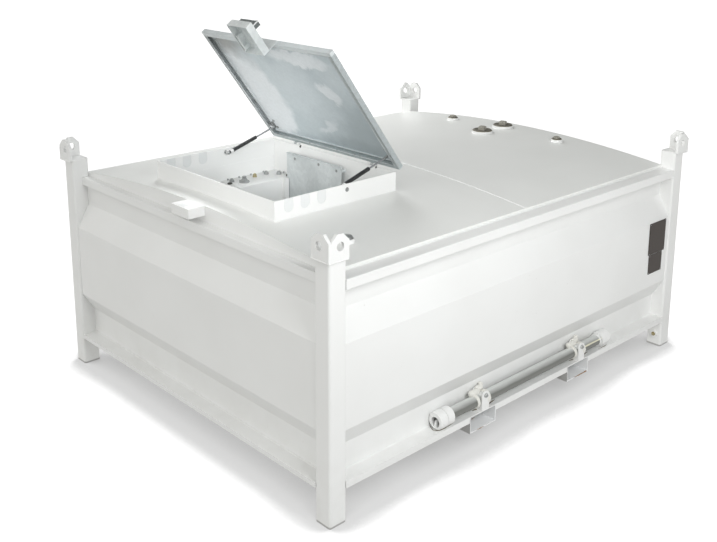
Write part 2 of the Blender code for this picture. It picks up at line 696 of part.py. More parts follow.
def turned(name, profile, place, finish, steps=20):
    """A turned piece from an (r, z) profile that runs from its top to its bottom."""
    mesh = bpy.data.meshes.new(name)
    verts = [(r, 0, z) for r, z in profile]
    mesh.from_pydata(verts, [(i, i + 1) for i in range(len(verts) - 1)], [])
    obj = add_part(name, mesh, finish)
    screw = obj.modifiers.new("turn", "SCREW")
    screw.steps = steps
    screw.render_steps = steps
    screw.use_merge_vertices = True
    screw.merge_threshold = 0.00001
    screw.use_smooth_shade = True
    obj.matrix_world = place
    return obj


def make_struts():
    """Two gas struts: a cylinder on a wall stud, and a rod that ends beside the lid's stud."""
    cross = Matrix.Rotation(math.radians(90), 4, "X")
    for side, sy in (("front", -1), ("back", 1)):
        place, length = strut_frame(sy)
        bore = [(0, ROD_SEAT), (ROD_BORE, ROD_SEAT), (ROD_BORE, CYLINDER_END)]
        skin = [(CYLINDER_RADIUS - CYLINDER_BEVEL, CYLINDER_END),
                (CYLINDER_RADIUS, CYLINDER_END - CYLINDER_BEVEL),
                (CYLINDER_RADIUS, CYLINDER_START), (NECK_RADIUS, CYLINDER_START - CYLINDER_BEVEL),
                (NECK_RADIUS, EYE_BORE), (0, EYE_BORE)]
        body = turned("strut_cylinder_" + side, bore + skin, place, STRUT_BLACK)
        eye = cylinder_bmesh(EYE_RADIUS, -EYE_HALF, EYE_HALF, 20)
        hole = cylinder_bmesh(EYE_BORE, -2 * EYE_HALF, 2 * EYE_HALF, 20)
        boolean(body, as_cutter("strut_eye_" + side, eye, place @ cross), "UNION")
        boolean(body, as_cutter("strut_hole_" + side, hole, place @ cross), "DIFFERENCE")
        end = length - ROD_END_SHORT
        profile = [(0, end), (ROD_RADIUS, end), (ROD_RADIUS, ROD_START), (0, ROD_START)]
        rod = turned("strut_rod_" + side, profile, place, STEEL_ROD, 16)
        high = place @ Matrix.Translation((0, 0, length)) @ cross
        socket = cylinder_bmesh(SOCKET_RADIUS, -EYE_HALF, EYE_HALF, 20)
        boolean(rod, as_cutter("strut_socket_" + side, socket, high), "UNION")


def make_strut_studs():
    """A stud on each long wall of the well, through the strut's low eye."""
    place = Matrix.Translation((STRUT_LOW[0], 0, STRUT_LOW[1])) @ Matrix.Rotation(math.radians(-90), 4, "X")
    for side, sy in (("front", -1), ("back", 1)):
        wall = HATCH_HALF_Y - WALL_SHEET / 2
        span = sorted((sy * (STRUT_Y - EYE_HALF - EYE_SIDE_GAP), sy * wall))
        stud = as_cutter("strut_stud_" + side, cylinder_bmesh(STUD_RADIUS, *span, 20), place)
        boolean(PARTS.objects["hatch_wall_" + side], stud, "UNION")


def make_latch_bracket():
    """Folded bracket on the left rail that the lock box covers when the lid is shut."""
    low = (LATCH_OUTER, LATCH_CENTRE_Y - LATCH_HALF_Y, LATCH_Z[0])
    high = (-ROOF_END_X - GAP, LATCH_CENTRE_Y + LATCH_HALF_Y, LATCH_Z[1])
    sheet = LATCH_SHEET
    bracket = block("latch_bracket", low, high, WHITE_PAINT)
    hollow = box_bmesh((low[0] + sheet, low[1] + sheet, low[2] - CUT_PAST),
                       (high[0] + CUT_PAST, high[1] - sheet, high[2] - sheet))
    boolean(bracket, as_cutter("latch_hollow", hollow), "DIFFERENCE")


def make_roof_bosses():
    """Round bosses seated on the camber, each with its square-headed plug."""
    seat = [(-ROOF_EDGE_Y, TOP_RAIL_TOP)] + roof_arc(-GAP, ROOF_EDGE_Y) + [(ROOF_EDGE_Y, TOP_RAIL_TOP)]
    seat_tool = as_cutter("boss_seat", outline_mesh("boss_seat", [seat], -BAY_X, BAY_X, YZ_FRAME))
    for name, x, y, radius, height in ROOF_BOSSES:
        top = roof_height(y) + height
        here = Matrix.Translation((x, y, 0))
        obj = add_part(name, mesh_from(name, cylinder_bmesh(radius, top - BOSS_DEPTH, top, 28)), WHITE_PAINT)
        obj.location = (x, y, 0)
        plug = cylinder_bmesh(radius * PLUG_SHARE, top - PLUG_SINK, top + PLUG_RISE, 20)
        head_half = radius * PLUG_HEAD_SHARE
        head = box_bmesh((-head_half, -head_half, top), (head_half, head_half, top + PLUG_HEAD_HEIGHT))
        boolean(obj, seat_tool, "DIFFERENCE")
        boolean(obj, as_cutter(name + "_plug", plug, here), "UNION")
        boolean(obj, as_cutter(name + "_head", head, here), "UNION")


def make_side_pipe():
    """Galvanised pipe along the front ledge, with an end fitting and an end cap."""
    turn = Matrix.Rotation(math.radians(90), 4, "Y")
    place = Matrix.Translation((0, PIPE_Y, PIPE_Z)) @ turn
    pipe = mesh_from("side_pipe", cylinder_bmesh(PIPE_RADIUS, *PIPE_X, 28))
    add_part("side_pipe", pipe, GALVANISED).matrix_world = place
    start = PIPE_X[0] - GAP
    shoulder = start - COLLAR_LENGTH
    nose = start - FITTING_LENGTH
    profile = [(0, start), (COLLAR_RADIUS, start), (COLLAR_RADIUS, shoulder), (GROOVE_RADIUS, shoulder),
               (GROOVE_RADIUS, shoulder - GROOVE_WIDTH), (FITTING_RADIUS, shoulder - GROOVE_WIDTH),
               (FITTING_RADIUS, nose + CAP_BEVEL), (FITTING_NOSE_RADIUS, nose), (0, nose)]
    fitting = turned("pipe_fitting", profile, place, WHITE_PAINT, 28)
    recess = cylinder_bmesh(RECESS_RADIUS, nose - RECESS_DEPTH, nose + RECESS_DEPTH)
    lower = Matrix.Translation((0, 0, -RECESS_DROP)) @ place
    boolean(fitting, as_cutter("fitting_recess", recess, lower), "DIFFERENCE")
    end = PIPE_X[1] + GAP
    profile = [(0, end + CAP_LENGTH), (CAP_RADIUS - CAP_BEVEL, end + CAP_LENGTH),
               (CAP_RADIUS, end + CAP_LENGTH - CAP_BEVEL), (CAP_RADIUS, end), (0, end)]
    turned("pipe_cap", profile, place, WHITE_PAINT, 28)


def make_saddles():
    """Two saddles that carry the pipe on the front ledge."""
    inner = PIPE_RADIUS + GAP
    outer = inner + EAR_SHEET
    foot = LOW_RAIL_TOP + GAP
    cup = circle_points(PIPE_Y, PIPE_Z, inner, 14, 180, 180)
    outline = ([(PIPE_Y - outer, foot), (PIPE_Y - outer, SADDLE_TOP), (PIPE_Y - inner, SADDLE_TOP)] + cup
               + [(PIPE_Y + inner, SADDLE_TOP), (PIPE_Y + outer, SADDLE_TOP), (PIPE_Y + outer, foot)])
    for side, x in (("left", SADDLE_X[0]), ("right", SADDLE_X[1])):
        name = "pipe_saddle_" + side
        saddle = plate(name, [outline], x - SADDLE_HALF, x + SADDLE_HALF, YZ_FRAME, WHITE_PAINT)
        ear = [(x - SADDLE_HALF, foot - CUT_PAST), (x + SADDLE_HALF, foot - CUT_PAST)]
        ear += circle_points(x, SADDLE_TOP - SADDLE_HALF, SADDLE_HALF, 12, 0, 180)
        tool = outline_mesh(name + "_ear", [ear], PIPE_Y - 2 * outer, PIPE_Y + 2 * outer, XZ_FRAME)
        boolean(saddle, as_cutter(name + "_ear", tool), "INTERSECT")
        across = Matrix.Translation((x, PIPE_Y, BOLT_Z)) @ Matrix.Rotation(math.radians(90), 4, "X")
        for end, low in (("head", outer - GAP), ("nut", -outer - BOLT_HEAD + GAP)):
            head = cylinder_bmesh(BOLT_HEAD_RADIUS, low, low + BOLT_HEAD, 6)
            boolean(saddle, as_cutter(name + "_" + end, head, across), "UNION")


def make_plates():
    """Two blank data plates on the proud band of the front wall."""
    face = -HALF_W + PROUD - GAP
    for name, xs, zs, sheet in DATA_PLATES:
        block(name, (xs[0], face - sheet, zs[0]), (xs[1], face, zs[1]), PLATE_BROWN)


def make_earth_boss():
    """A round earthing boss on the foot of the front right post."""
    boss = mesh_from("earth_boss", cylinder_bmesh(EARTH_BOSS_RADIUS, 0, EARTH_BOSS_LENGTH, 24))
    place = Matrix.Translation((BAY_X - GAP, -HALF_W + EARTH_BOSS_IN, EARTH_BOSS_Z))
    obj = add_part("earth_boss", boss, WHITE_PAINT)
    obj.matrix_world = place @ Matrix.Rotation(math.radians(-90), 4, "Y")


clear_scene()
PARTS = make_collection("bunded_fuel_tank")
CUTTERS = make_collection("cutters")
LID_HINGE = make_lid_hinge()
make_posts()
make_lugs()
make_low_rails()
make_top_rails()
make_walls()
make_base()
make_fork_pockets()
make_roof()
make_hatch()
make_shelf()
make_inner_panel()
make_lid()
make_lock_box()
make_lid_hinges()
make_struts()
make_strut_studs()
make_latch_bracket()
make_roof_bosses()
make_side_pipe()
make_saddles()
make_plates()
make_earth_boss()
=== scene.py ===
"""Looks of the transportable bunded fuel tank: finishes, small detail, floor, light and camera."""
import json
import random
from math import atan2, cos, hypot, pi, radians, sin

import bmesh
import bpy
from mathutils import Matrix, Vector

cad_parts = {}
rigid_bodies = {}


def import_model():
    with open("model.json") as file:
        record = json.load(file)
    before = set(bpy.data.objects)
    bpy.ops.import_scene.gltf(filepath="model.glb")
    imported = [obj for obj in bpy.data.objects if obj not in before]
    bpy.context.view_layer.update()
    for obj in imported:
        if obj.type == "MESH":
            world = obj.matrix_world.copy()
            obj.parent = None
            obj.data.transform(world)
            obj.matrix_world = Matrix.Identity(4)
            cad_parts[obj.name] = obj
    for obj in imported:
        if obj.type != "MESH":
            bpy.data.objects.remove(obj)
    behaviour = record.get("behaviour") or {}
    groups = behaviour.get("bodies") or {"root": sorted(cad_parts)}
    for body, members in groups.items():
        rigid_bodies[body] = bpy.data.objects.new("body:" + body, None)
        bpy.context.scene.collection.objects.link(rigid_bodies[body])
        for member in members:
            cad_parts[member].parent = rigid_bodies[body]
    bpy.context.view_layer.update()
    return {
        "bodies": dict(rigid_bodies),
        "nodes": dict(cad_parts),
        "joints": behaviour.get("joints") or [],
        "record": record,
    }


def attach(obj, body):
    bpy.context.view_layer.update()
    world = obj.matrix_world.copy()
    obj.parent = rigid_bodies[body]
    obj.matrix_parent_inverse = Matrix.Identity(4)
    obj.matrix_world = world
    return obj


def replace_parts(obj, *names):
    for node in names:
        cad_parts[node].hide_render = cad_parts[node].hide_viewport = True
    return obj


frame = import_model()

LOOKS = {}

# The photograph's camera, solved from the corners of the posts and lugs
IMAGE_WIDTH = 717
FOCAL_PIXELS = 985.276
PRINCIPAL_SHIFT = (-16.48, -130)
CAMERA_PLACE = (-4.0108, -4.1203, 2.7201)
CAMERA_AZIMUTH = -43.8133
CAMERA_ELEVATION = 13.357
CAMERA_ROLL = 0.4812
SENSOR = 36

# Brightness of the surround towards each direction, above the horizon and below it
SKY_LIGHT = (((-1, 0, 0), 1.36), ((0, 1, 0), 0.14), ((1, 0, 0), 0.2), ((0, 0, 1), 0.09))
GROUND_LIGHT = (((0, 0, -1), 0.44), ((-1, 0, 0), 0.14), ((0, -1, 0), 0.16), ((1, 0, 0), 0.75),
                ((0, 1, 0), 0.55))
SKY_COLOUR = (1, 1, 0.975, 1)
LAMP_COLOUR = (0.985, 0.995, 1)

# Round studio lamps: name, place, aim, size in metres, watts
LAMPS = (
    ("lamp_high", (-1.6, -4.2, 3), (-0.6, -0.6, 0.9), 2, 89),
    ("lamp_front", (0, -4.2, 2.2), (0, 0, 0.7), 2, 16),
    ("lamp_low", (0.4, -5, 0.8), (0.1, -1.2, 0.4), 2, 11),
    ("lamp_back", (0.9, 2.6, 3.2), (-0.5, 0.9, 1.2), 1.6, 67),
)
SPOT_PLACE = (-2.6, -1.6, 2)
SPOT_AIM = (-0.66, 0.12, 1.52)
SPOT_WATTS = 135
FLOOR_REACH = 400
DOME_RADIUS = 380

# Finish of the CAD nodes whose names start like this, first match first; the rest is white paint
NODE_LOOKS = {
    "lid_hinge": "zinc", "lid": "lid", "lock_box": "box", "inner_panel": "panel", "side_pipe": "side_pipe",
    "fork_pocket": "pocket_paint", "strut_cylinder": "black", "strut_rod": "rod", "data_plate": "plate",
    "roof_plug": "plug", "roof_left": "roof_paint", "roof_right": "roof_paint",
}

# Places shared with the CAD, in metres; the lid's are those of the closed lid, and its angle is in degrees
HINGE = (-0.392, 1.345)
LID_OPEN = 53.5
LID_NEAR, LID_FAR, LID_HALF = -0.4035, -1.2385, 0.545
LID_INSIDE = 1.3755
LID_LIP = 0.022
LID_LIP_FACE = 1.3485
STRUT_Y = 0.489
STRUT_LOW = (-0.77, 1.32)
STRUT_HIGH = (-0.436, 1.425)
WELL_X = (-1.225, -0.405)
WELL_Y = 0.525
WELL_TOP = 1.343
WELL_FLOOR = 0.7003
SHELF_TOP = 1.15
SLOT_CENTRES = (-1.138, -1.0345, -0.927)
SLOT_RADIUS = 0.0268
SLOT_ARC_Z = 1.299
PIPE_LINE = (-1.146, 0.2505)
PIPE_RADIUS = 0.0302
RING_BORE = 0.0303
FITTING_NOSE = -0.7283
SADDLES = (("left", -0.3865), ("right", 0.461))
LEDGE_TOP = 0.2002
POCKET_SIDES = ((-0.506, -0.5005), (0.331, 0.336))
POCKET_FLOOR = 0.1132
ROOF_CROWN, ROOF_CAMBER, ROOF_HALF = 1.255, 0.069, 1.093
SIDES = (("front", -1), ("back", 1))
CORNERS = (("front_left", -1, -1), ("front_right", 1, -1), ("back_left", -1, 1), ("back_right", 1, 1))

# Roof bosses: CAD node, x, y, outer radius; and their rings' height
ROOF_BOSSES = (
    ("roof_plug_small_back", 1.179, 0.483, 0.04048),
    ("roof_plug_large_left", 0.971, 0.034, 0.07),
    ("roof_plug_large_right", 1.202, 0.046, 0.07),
    ("roof_plug_small_front", 1.169, -0.43, 0.03864),
    ("roof_plug_corner", -1.098, -0.892, 0.042),
)
BOSS_RISE = 0.0155

# Clouds on the lid: centre and reach (outward, across), turn, soft edge, share, colour
PALE, GREY, DARK = (0.93, 0.97, 1), (0.76, 0.825, 0.86), (0.48, 0.545, 0.57)
LID_CLOUDS = (
    ((0.2, -0.42), (0.26, 0.24), 0, 0.5, 0.55, DARK),
    ((0.075, -0.26), (0.07, 0.26), 0, 0.4, 0.65, DARK),
    ((0.45, 0), (0.16, 0.22), 20, 0.5, 0.6, GREY),
    ((0.4, 0.45), (0.36, 0.25), 0, 0.12, 1, PALE),
    ((0.16, 0.4), (0.1, 0.16), 0, 0.15, 0.9, PALE),
    ((0.735, -0.19), (0.065, 0.24), 0, 0.18, 0.95, PALE),
    ((0.6, -0.4), (0.16, 0.09), 0, 0.5, 0.5, GREY),
    ((0.495, -0.27), (0.055, 0.092), -42, 0.22, 0.8, PALE),
    ((0.58, 0.03), (0.09, 0.16), 25, 0.5, 0.45, GREY),
    ((0.2, -0.07), (0.022, 0.12), 30, 0.4, 0.6, PALE),
    ((0.32, -0.2), (0.05, 0.1), 20, 0.5, 0.5, GREY),
    ((0.765, 0.43), (0.07, 0.12), 0, 0.6, 0.8, (0.4, 0.4, 0.385)),
    ((0.66, 0.33), (0.07, 0.05), 35, 0.8, 0.5, DARK),
)

# The lock box's bars on the closed lid: piece, look, and each bar's low and high corner
LOCK_BARS = (
    ("lock_box_web", "box", (
        ((-1.352, 0.0185, 1.262), (-1.305, 0.0215, 1.3003)),
        ((-1.275, 0.0185, 1.262), (-1.257, 0.0215, 1.3003)),
        ((-1.3052, 0.0186, 1.262), (-1.2748, 0.0214, 1.2675)),
        ((-1.3052, 0.0186, 1.2945), (-1.2748, 0.0214, 1.3002)),
        ((-1.429, -0.122, 1.26), (-1.4262, 0.042, 1.263)),
        ((-1.429, -0.1222, 1.2598), (-1.2395, -0.119, 1.2628)),
        ((-1.429, 0.039, 1.2598), (-1.2395, 0.0422, 1.2628)))),
    ("lock_box_tab", "tab", (
        ((-1.406, -0.118, 1.3033), (-1.403, 0.022, 1.34)),
        ((-1.406, -0.118, 1.3033), (-1.378, -0.115, 1.34)),
        ((-1.4, -0.109, 1.3033), (-1.376, -0.106, 1.338)),
        ((-1.408, -0.119, 1.3385), (-1.376, -0.113, 1.3415)))),
    # The rolled lips carry a near-white painted highlight
    ("lock_box_rims", "highlight_zinc_edge", (
        ((-1.4075, -0.1195, 1.338), (-1.402, 0.0235, 1.3412)),
        ((-1.4075, -0.1195, 1.3033), (-1.402, -0.1165, 1.34)),
        ((-1.353, 0.0175, 1.26), (-1.256, 0.0225, 1.2632)))),
)

# Tilt in degrees, and the axis it is about, that point a placement's Z along each axis
AXES = {"Z": (0, "Z"), "X": (90, "Y"), "-X": (-90, "Y"), "Y": (-90, "X"), "-Y": (90, "X"), "-Z": (180, "X")}
UP = (0, 0, 1)
HEXAGON = range(0, 360, 60)
SHARP = 32


def shader(name, **values):
    """A material with its Principled shader's plain values set, and its node tree."""
    material = bpy.data.materials.new(name)
    material.use_nodes = True
    surface = material.node_tree.nodes["Principled BSDF"]
    for key, value in values.items():
        surface.inputs[key.replace("_", " ").title()].default_value = value
    return material, material.node_tree


def node(tree, kind, inputs=(), **settings):
    """One shader node with its settings, and its inputs given as values or as sockets to link."""
    made = tree.nodes.new("ShaderNode" + kind)
    for key, value in settings.items():
        setattr(made, key, value)
    for key, value in dict(inputs).items():
        if isinstance(value, bpy.types.NodeSocket):
            tree.links.new(value, made.inputs[key])
        else:
            made.inputs[key].default_value = value
    return made


def place(tree):
    """Coordinates in metres in the tank's own frame."""
    return node(tree, "TexCoord").outputs["Object"]


def split(tree):
    """The place's X, Y and Z."""
    return node(tree, "SeparateXYZ", {0: place(tree)}).outputs


def noise(tree, scale, detail=3, roughness=0.5, distortion=0, stretch=None):
    """Noise in the tank's frame, from 0 to 1, stretched along an axis if asked."""
    where = place(tree)
    if stretch:
        where = node(tree, "Mapping", {"Vector": where, "Scale": stretch}).outputs[0]
    made = node(tree, "TexNoise", {"Vector": where, "Scale": scale, "Detail": detail, "Roughness": roughness,
                                   "Distortion": distortion})
    return made.outputs["Fac"]


def spangle(tree, scale):
    """Zinc crystals, each with a value of its own."""
    cells = node(tree, "TexVoronoi", {"Vector": place(tree), "Scale": scale, "Randomness": 1})
    return node(tree, "SeparateColor", {0: cells.outputs["Color"]}).outputs[0]


def span(value, low, high, to_low=0, to_high=1):
    """A linked value carried from one range to another, held at its ends."""
    made = node(value.id_data, "MapRange", {"Value": value, "From Min": low, "From Max": high,
                                            "To Min": to_low, "To Max": to_high}, clamp=True)
    return made.outputs[0]


def mix(share, first, second):
    """Two colours mixed by a linked share."""
    ends = [end if isinstance(end, bpy.types.NodeSocket) else (*end, 1) for end in (first, second)]
    return node(share.id_data, "Mix", {0: share, 6: ends[0], 7: ends[1]}, data_type="RGBA").outputs[2]


def maths(operation, first, second=0):
    """The result of an operation on a linked value and another one."""
    return node(first.id_data, "Math", {0: first, 1: second}, operation=operation).outputs[0]


def times(first, second):
    """The product of two values."""
    return maths("MULTIPLY", first, second)


def add(first, second):
    """The sum of two values."""
    return maths("ADD", first, second)


def feed(value, key):
    """Link a value to an input of the Principled shader in its tree."""
    tree = value.id_data
    tree.links.new(value, tree.nodes["Principled BSDF"].inputs[key])


def finish(material, tone, rough, height, strength, distance):
    """Link a material's colour, roughness and bump, its height being in metres of distance."""
    feed(tone, "Base Color")
    if rough is not None:
        feed(rough, "Roughness")
    raised = node(material.node_tree, "Bump", {"Height": height, "Strength": strength, "Distance": distance})
    feed(raised.outputs[0], "Normal")
    return material


def white_paint(name, base=(0.865, 0.87, 0.862), shade=(0.835, 0.838, 0.828), dust_and_shade=0.22):
    """Semi-gloss white enamel on steel plate: slight tone changes, road dust and painted shade low down,
    orange peel.
    """
    material, tree = shader(name, coat_weight=0.15, coat_roughness=0.25)
    tone = mix(span(noise(tree, 2.3, 4), 0.35, 0.7), base, shade)
    height = split(tree)["Z"]
    # Darker towards the bottom: road dust and painted shade, mottled by noise, and rougher there
    dust = times(span(height, 0, 0.42, dust_and_shade, 0), span(noise(tree, 9, 6, 0.65), 0.42, 0.72))
    tone = mix(dust, tone, (0.56, 0.54, 0.5))
    # Painted contact shadow: a dark band in the lowest centimetre, at the posts' feet
    tone = mix(span(height, 0.004, 0.012, 0.7, 0), tone, (0.16, 0.15, 0.14))
    tone = mix(span(noise(tree, 61, 2, 0.7), 0.745, 0.77, 0, 0.3), tone, (0.42, 0.38, 0.33))
    rough = add(span(noise(tree, 5, 5), 0.3, 0.7, 0.34, 0.44), times(dust, 0.3))
    height = add(times(noise(tree, 2.4, 2), 0.6), times(noise(tree, 420, 2), 0.06))
    return finish(material, tone, rough, height, 0.25, 0.0014)


def pocket_paint(name):
    """The fork pockets' paint: white inside, with a painted shadow, broken up by noise, on the sheltered outer
    side.
    """
    material, tree = shader(name, roughness=0.45)
    x = split(tree)["X"]
    # Where the painted shadow goes: the pockets' sheltered outer sides
    dust_and_shade = 0
    for low, high in POCKET_SIDES:
        dust_and_shade = add(times(span(x, low, low + 0.001), span(x, high + 0.001, high)), dust_and_shade)
    cloud = span(noise(tree, 14, 4, 0.6), 0.3, 0.7, 0.72, 0.9)
    tone = mix(noise(tree, 3), (0.85, 0.858, 0.862), (0.8, 0.81, 0.815))
    # Painted shadow: dark grey on the outer sides
    tone = mix(times(dust_and_shade, cloud), tone, (0.2, 0.195, 0.185))
    return finish(material, tone, None, noise(tree, 400, 2), 0.12, 0.0004)


def galvanised(name, base=(0.4, 0.425, 0.43), bright=(0.66, 0.685, 0.69), metallic=0.4):
    """Hot-dip zinc: crystal spangle under broad bright and dull clouds."""
    material, tree = shader(name, metallic=metallic)
    grain = spangle(tree, 52)
    clouds = span(noise(tree, 2.6, 3, 0.55, 0.8), 0.44, 0.62)
    tone = mix(times(grain, 0.22), mix(clouds, base, bright), (0.4, 0.43, 0.44))
    rough = add(span(clouds, 0, 1, 0.3, 0.5), times(grain, 0.14))
    return finish(material, tone, rough, add(times(grain, 0.12), noise(tree, 7)), 0.3, 0.001)


def oval(tree, where, centre, reach, turned, soft):
    """An oval patch on a plane: 1 inside, 0 outside, with a soft edge."""
    local = node(tree, "Mapping", {"Vector": where, "Location": (*centre, 0), "Scale": (*reach, 1),
                                   "Rotation": (0, 0, radians(turned))}, vector_type="TEXTURE")
    far = node(tree, "VectorMath", {0: local.outputs[0]}, operation="LENGTH").outputs["Value"]
    return span(far, 1 - soft, 1 + soft, 1, 0)


def lid_zinc(name):
    """The lid's own zinc: bright and dull clouds where the photo shows them, from the hinge outward, with
    painted shade on its side and hinge lips.
    """
    material, tree = shader(name, metallic=0.25)
    turned = radians(LID_OPEN)
    outward = (-cos(turned), 0, sin(turned))
    start = HINGE[0] * cos(turned) - HINGE[1] * sin(turned)
    out = node(tree, "VectorMath", {0: place(tree), 1: outward}, operation="DOT_PRODUCT")
    out = add(out.outputs["Value"], start)
    across = split(tree)["Y"]
    flat = node(tree, "CombineXYZ", {0: out, 1: across}).outputs[0]
    ragged = node(tree, "TexNoise", {"Vector": flat, "Scale": 7, "Detail": 6, "Roughness": 0.65})
    warped = node(tree, "VectorMath", {0: ragged.outputs["Color"], 1: (0.2, 0.2, 0), 2: flat},
                  operation="MULTIPLY_ADD").outputs[0]
    warped = node(tree, "VectorMath", {0: warped, 1: (0.1, 0.1, 0)}, operation="SUBTRACT").outputs[0]
    tone = mix(span(noise(tree, 4, 4, 0.6), 0.35, 0.65), (0.6, 0.675, 0.71), (0.7, 0.775, 0.805))
    for centre, reach, angle, soft, share, colour in LID_CLOUDS:
        tone = mix(times(oval(tree, warped, centre, reach, angle, soft), share), tone, colour)
    grain = spangle(tree, 75)
    tone = mix(times(grain, 0.1), tone, (0.4, 0.43, 0.44))
    speck = span(noise(tree, 55, 5, 0.7), 0.36, 0.64, 0.62, 1)
    # Bands on the lips: painted shade on the side and hinge lips, and a paler band on the free-edge lip
    for value, low, high, colour in ((maths("ABSOLUTE", across), 0.52, 0.524, (0.4, 0.43, 0.435)),
                                     (out, 0.034, 0.03, (0.42, 0.47, 0.475)),
                                     (out, 0.821, 0.825, (0.74, 0.78, 0.79))):
        tone = mix(times(span(value, low, high), speck), tone, colour)
    rough = span(noise(tree, 12, 4), 0.3, 0.7, 0.36, 0.5)
    return finish(material, tone, rough, add(times(grain, 0.1), noise(tree, 5, 2)), 0.2, 0.0008)


def pipe_zinc(name):
    """The side pipe's dull zinc with painted light: pale painted highlight on top, painted shade on its flank,
    painted bounce light underneath.
    """
    material, tree = shader(name, metallic=0.3)
    parts = split(tree)
    rise = span(parts["Z"], PIPE_LINE[1] - PIPE_RADIUS, PIPE_LINE[1] + PIPE_RADIUS)
    streak = noise(tree, 26, 4, 0.6, 0, (0.12, 1, 1))
    rise = add(rise, span(streak, 0.3, 0.7, -0.05, 0.05))
    # Painted light by height: pale on top, dark on the flank
    tone = mix(span(rise, 0.7, 1), (0.215, 0.22, 0.205), (0.72, 0.735, 0.72))
    # Painted bounce light: paler again underneath
    tone = mix(span(rise, 0.13, 0.07), tone, (0.42, 0.43, 0.42))
    # Painted highlight: a yellowish line along the upper flank towards the right end
    right = span(parts["X"], 0.48, 0.5)
    highlight_line = times(span(rise, 0.64, 0.69), span(rise, 0.82, 0.76))
    tone = mix(times(right, highlight_line), tone, (0.86, 0.84, 0.66))
    return finish(material, tone, span(streak, 0.3, 0.7, 0.34, 0.5), noise(tree, 60), 0.25, 0.0005)


def contact_shade(name):
    """Painted contact shadow: thin dark brown films, broken up by the paint under it."""
    material, tree = shader(name)
    tone = mix(span(noise(tree, 60, 4, 0.6), 0.4, 0.6), (0.085, 0.062, 0.04), (0.3, 0.26, 0.19))
    rough = span(noise(tree, 90), 0.3, 0.7, 0.55, 0.8)
    return finish(material, tone, rough, noise(tree, 300), 0.3, 0.0003)


def plain_metal(name, colour, rough, metallic, wear=(0.3, 0.24, 0.18), worn=0.25):
    """Small turned or cast metal with faint stains and a fine machined grain."""
    material, tree = shader(name, metallic=metallic)
    stain = span(noise(tree, 70, 4, 0.6), 0.5, 0.75, 0, worn)
    rough = span(noise(tree, 160), 0.3, 0.7, rough * 0.8, rough * 1.3)
    return finish(material, mix(stain, colour, wear), rough, noise(tree, 900, 2), 0.2, 0.0002)


def black_enamel(name):
    """Black strut tube: gloss with dust in it."""
    material, tree = shader(name, coat_weight=0.3, coat_roughness=0.15)
    dust = span(noise(tree, 90, 4, 0.6), 0.45, 0.75, 0, 0.35)
    tone = mix(dust, (0.016, 0.017, 0.018), (0.1, 0.1, 0.1))
    rough = span(dust, 0, 0.35, 0.28, 0.55)
    return finish(material, tone, rough, noise(tree, 700, 2), 0.15, 0.0002)


def dark_plate(name):
    """Brown etched metal plate, blank, with a faint brushed grain."""
    material, tree = shader(name, metallic=0.15)
    grain = noise(tree, 40, 4, 0.6, 0, (1, 1, 14))
    tone = mix(span(grain, 0.35, 0.65), (0.028, 0.02, 0.017), (0.055, 0.041, 0.034))
    return finish(material, tone, span(grain, 0.3, 0.7, 0.34, 0.5), grain, 0.15, 0.0003)


def floor_paper(name):
    """White studio paper that glows: bright in the open, with a painted shadow, grey where the tank stands
    close over it.
    """
    material, tree = shader(name, roughness=0.9, emission_color=(1, 1, 1, 1))
    feed(mix(noise(tree, 0.7, 2), (0.2, 0.2, 0.2), (0.22, 0.22, 0.22)), "Base Color")
    open_share = node(tree, "AmbientOcclusion", {"Distance": 0.38}, samples=16).outputs["AO"]
    # Painted shadow: the glow drops where the tank stands close over the floor
    glow_with_painted_shadow = add(span(open_share, 0.08, 0.5, 0.22, 0.52), span(open_share, 0.7, 0.86, 0, 0.52))
    feed(glow_with_painted_shadow, "Emission Strength")
    return material


def backdrop_paper(name):
    """Bright white beyond the floor's edge."""
    material, tree = shader(name, base_color=(0, 0, 0, 1), roughness=0.9, emission_strength=1)
    feed(mix(noise(tree, 0.01, 1), (1, 1, 1), (0.99, 0.99, 0.99)), "Emission Color")
    return material


def dress_nodes():
    """Give every CAD node its finish."""
    for name, obj in frame["nodes"].items():
        look = LOOKS[next((look for start, look in NODE_LOOKS.items() if name.startswith(start)), "paint")]
        if not obj.material_slots:
            obj.data.materials.append(look)
        for slot in obj.material_slots:
            slot.material = look


def roof_height(y):
    """Height of the cambered roof."""
    return ROOF_CROWN - ROOF_CAMBER * (y / ROOF_HALF) ** 2


def roof_line(x, half, steps):
    """Points across the cambered roof."""
    return [(x, y, roof_height(y)) for y in (half * (2 * i / steps - 1) for i in range(steps + 1))]


def frame_at(at, axis="Z", spin=0):
    """A placement whose Z runs along an axis, turned about it by degrees."""
    tilt, about = AXES[axis]
    tilted = Matrix.Translation(at) @ Matrix.Rotation(radians(tilt), 4, about)
    return tilted @ Matrix.Rotation(radians(spin), 4, "Z")


def lid_frame():
    """Carries a closed lid's coordinates to where they are at rest."""
    hinge = Matrix.Translation((HINGE[0], 0, HINGE[1]))
    return hinge @ Matrix.Rotation(radians(LID_OPEN), 4, "Y") @ hinge.inverted()


def strut_frame(sy):
    """A strut's placement, whose Z runs from its low eye to its high end, and its length."""
    reach = STRUT_HIGH[0] - STRUT_LOW[0]
    rise = STRUT_HIGH[1] - STRUT_LOW[1]
    eye = Matrix.Translation((STRUT_LOW[0], sy * STRUT_Y, STRUT_LOW[1]))
    return eye @ Matrix.Rotation(atan2(reach, rise), 4, "Y"), hypot(reach, rise)


def arc(radius, angles, middle=(0, 0)):
    """Points on a circle, at angles in degrees."""
    return [(middle[0] + radius * cos(radians(a)), middle[1] + radius * sin(radians(a))) for a in angles]


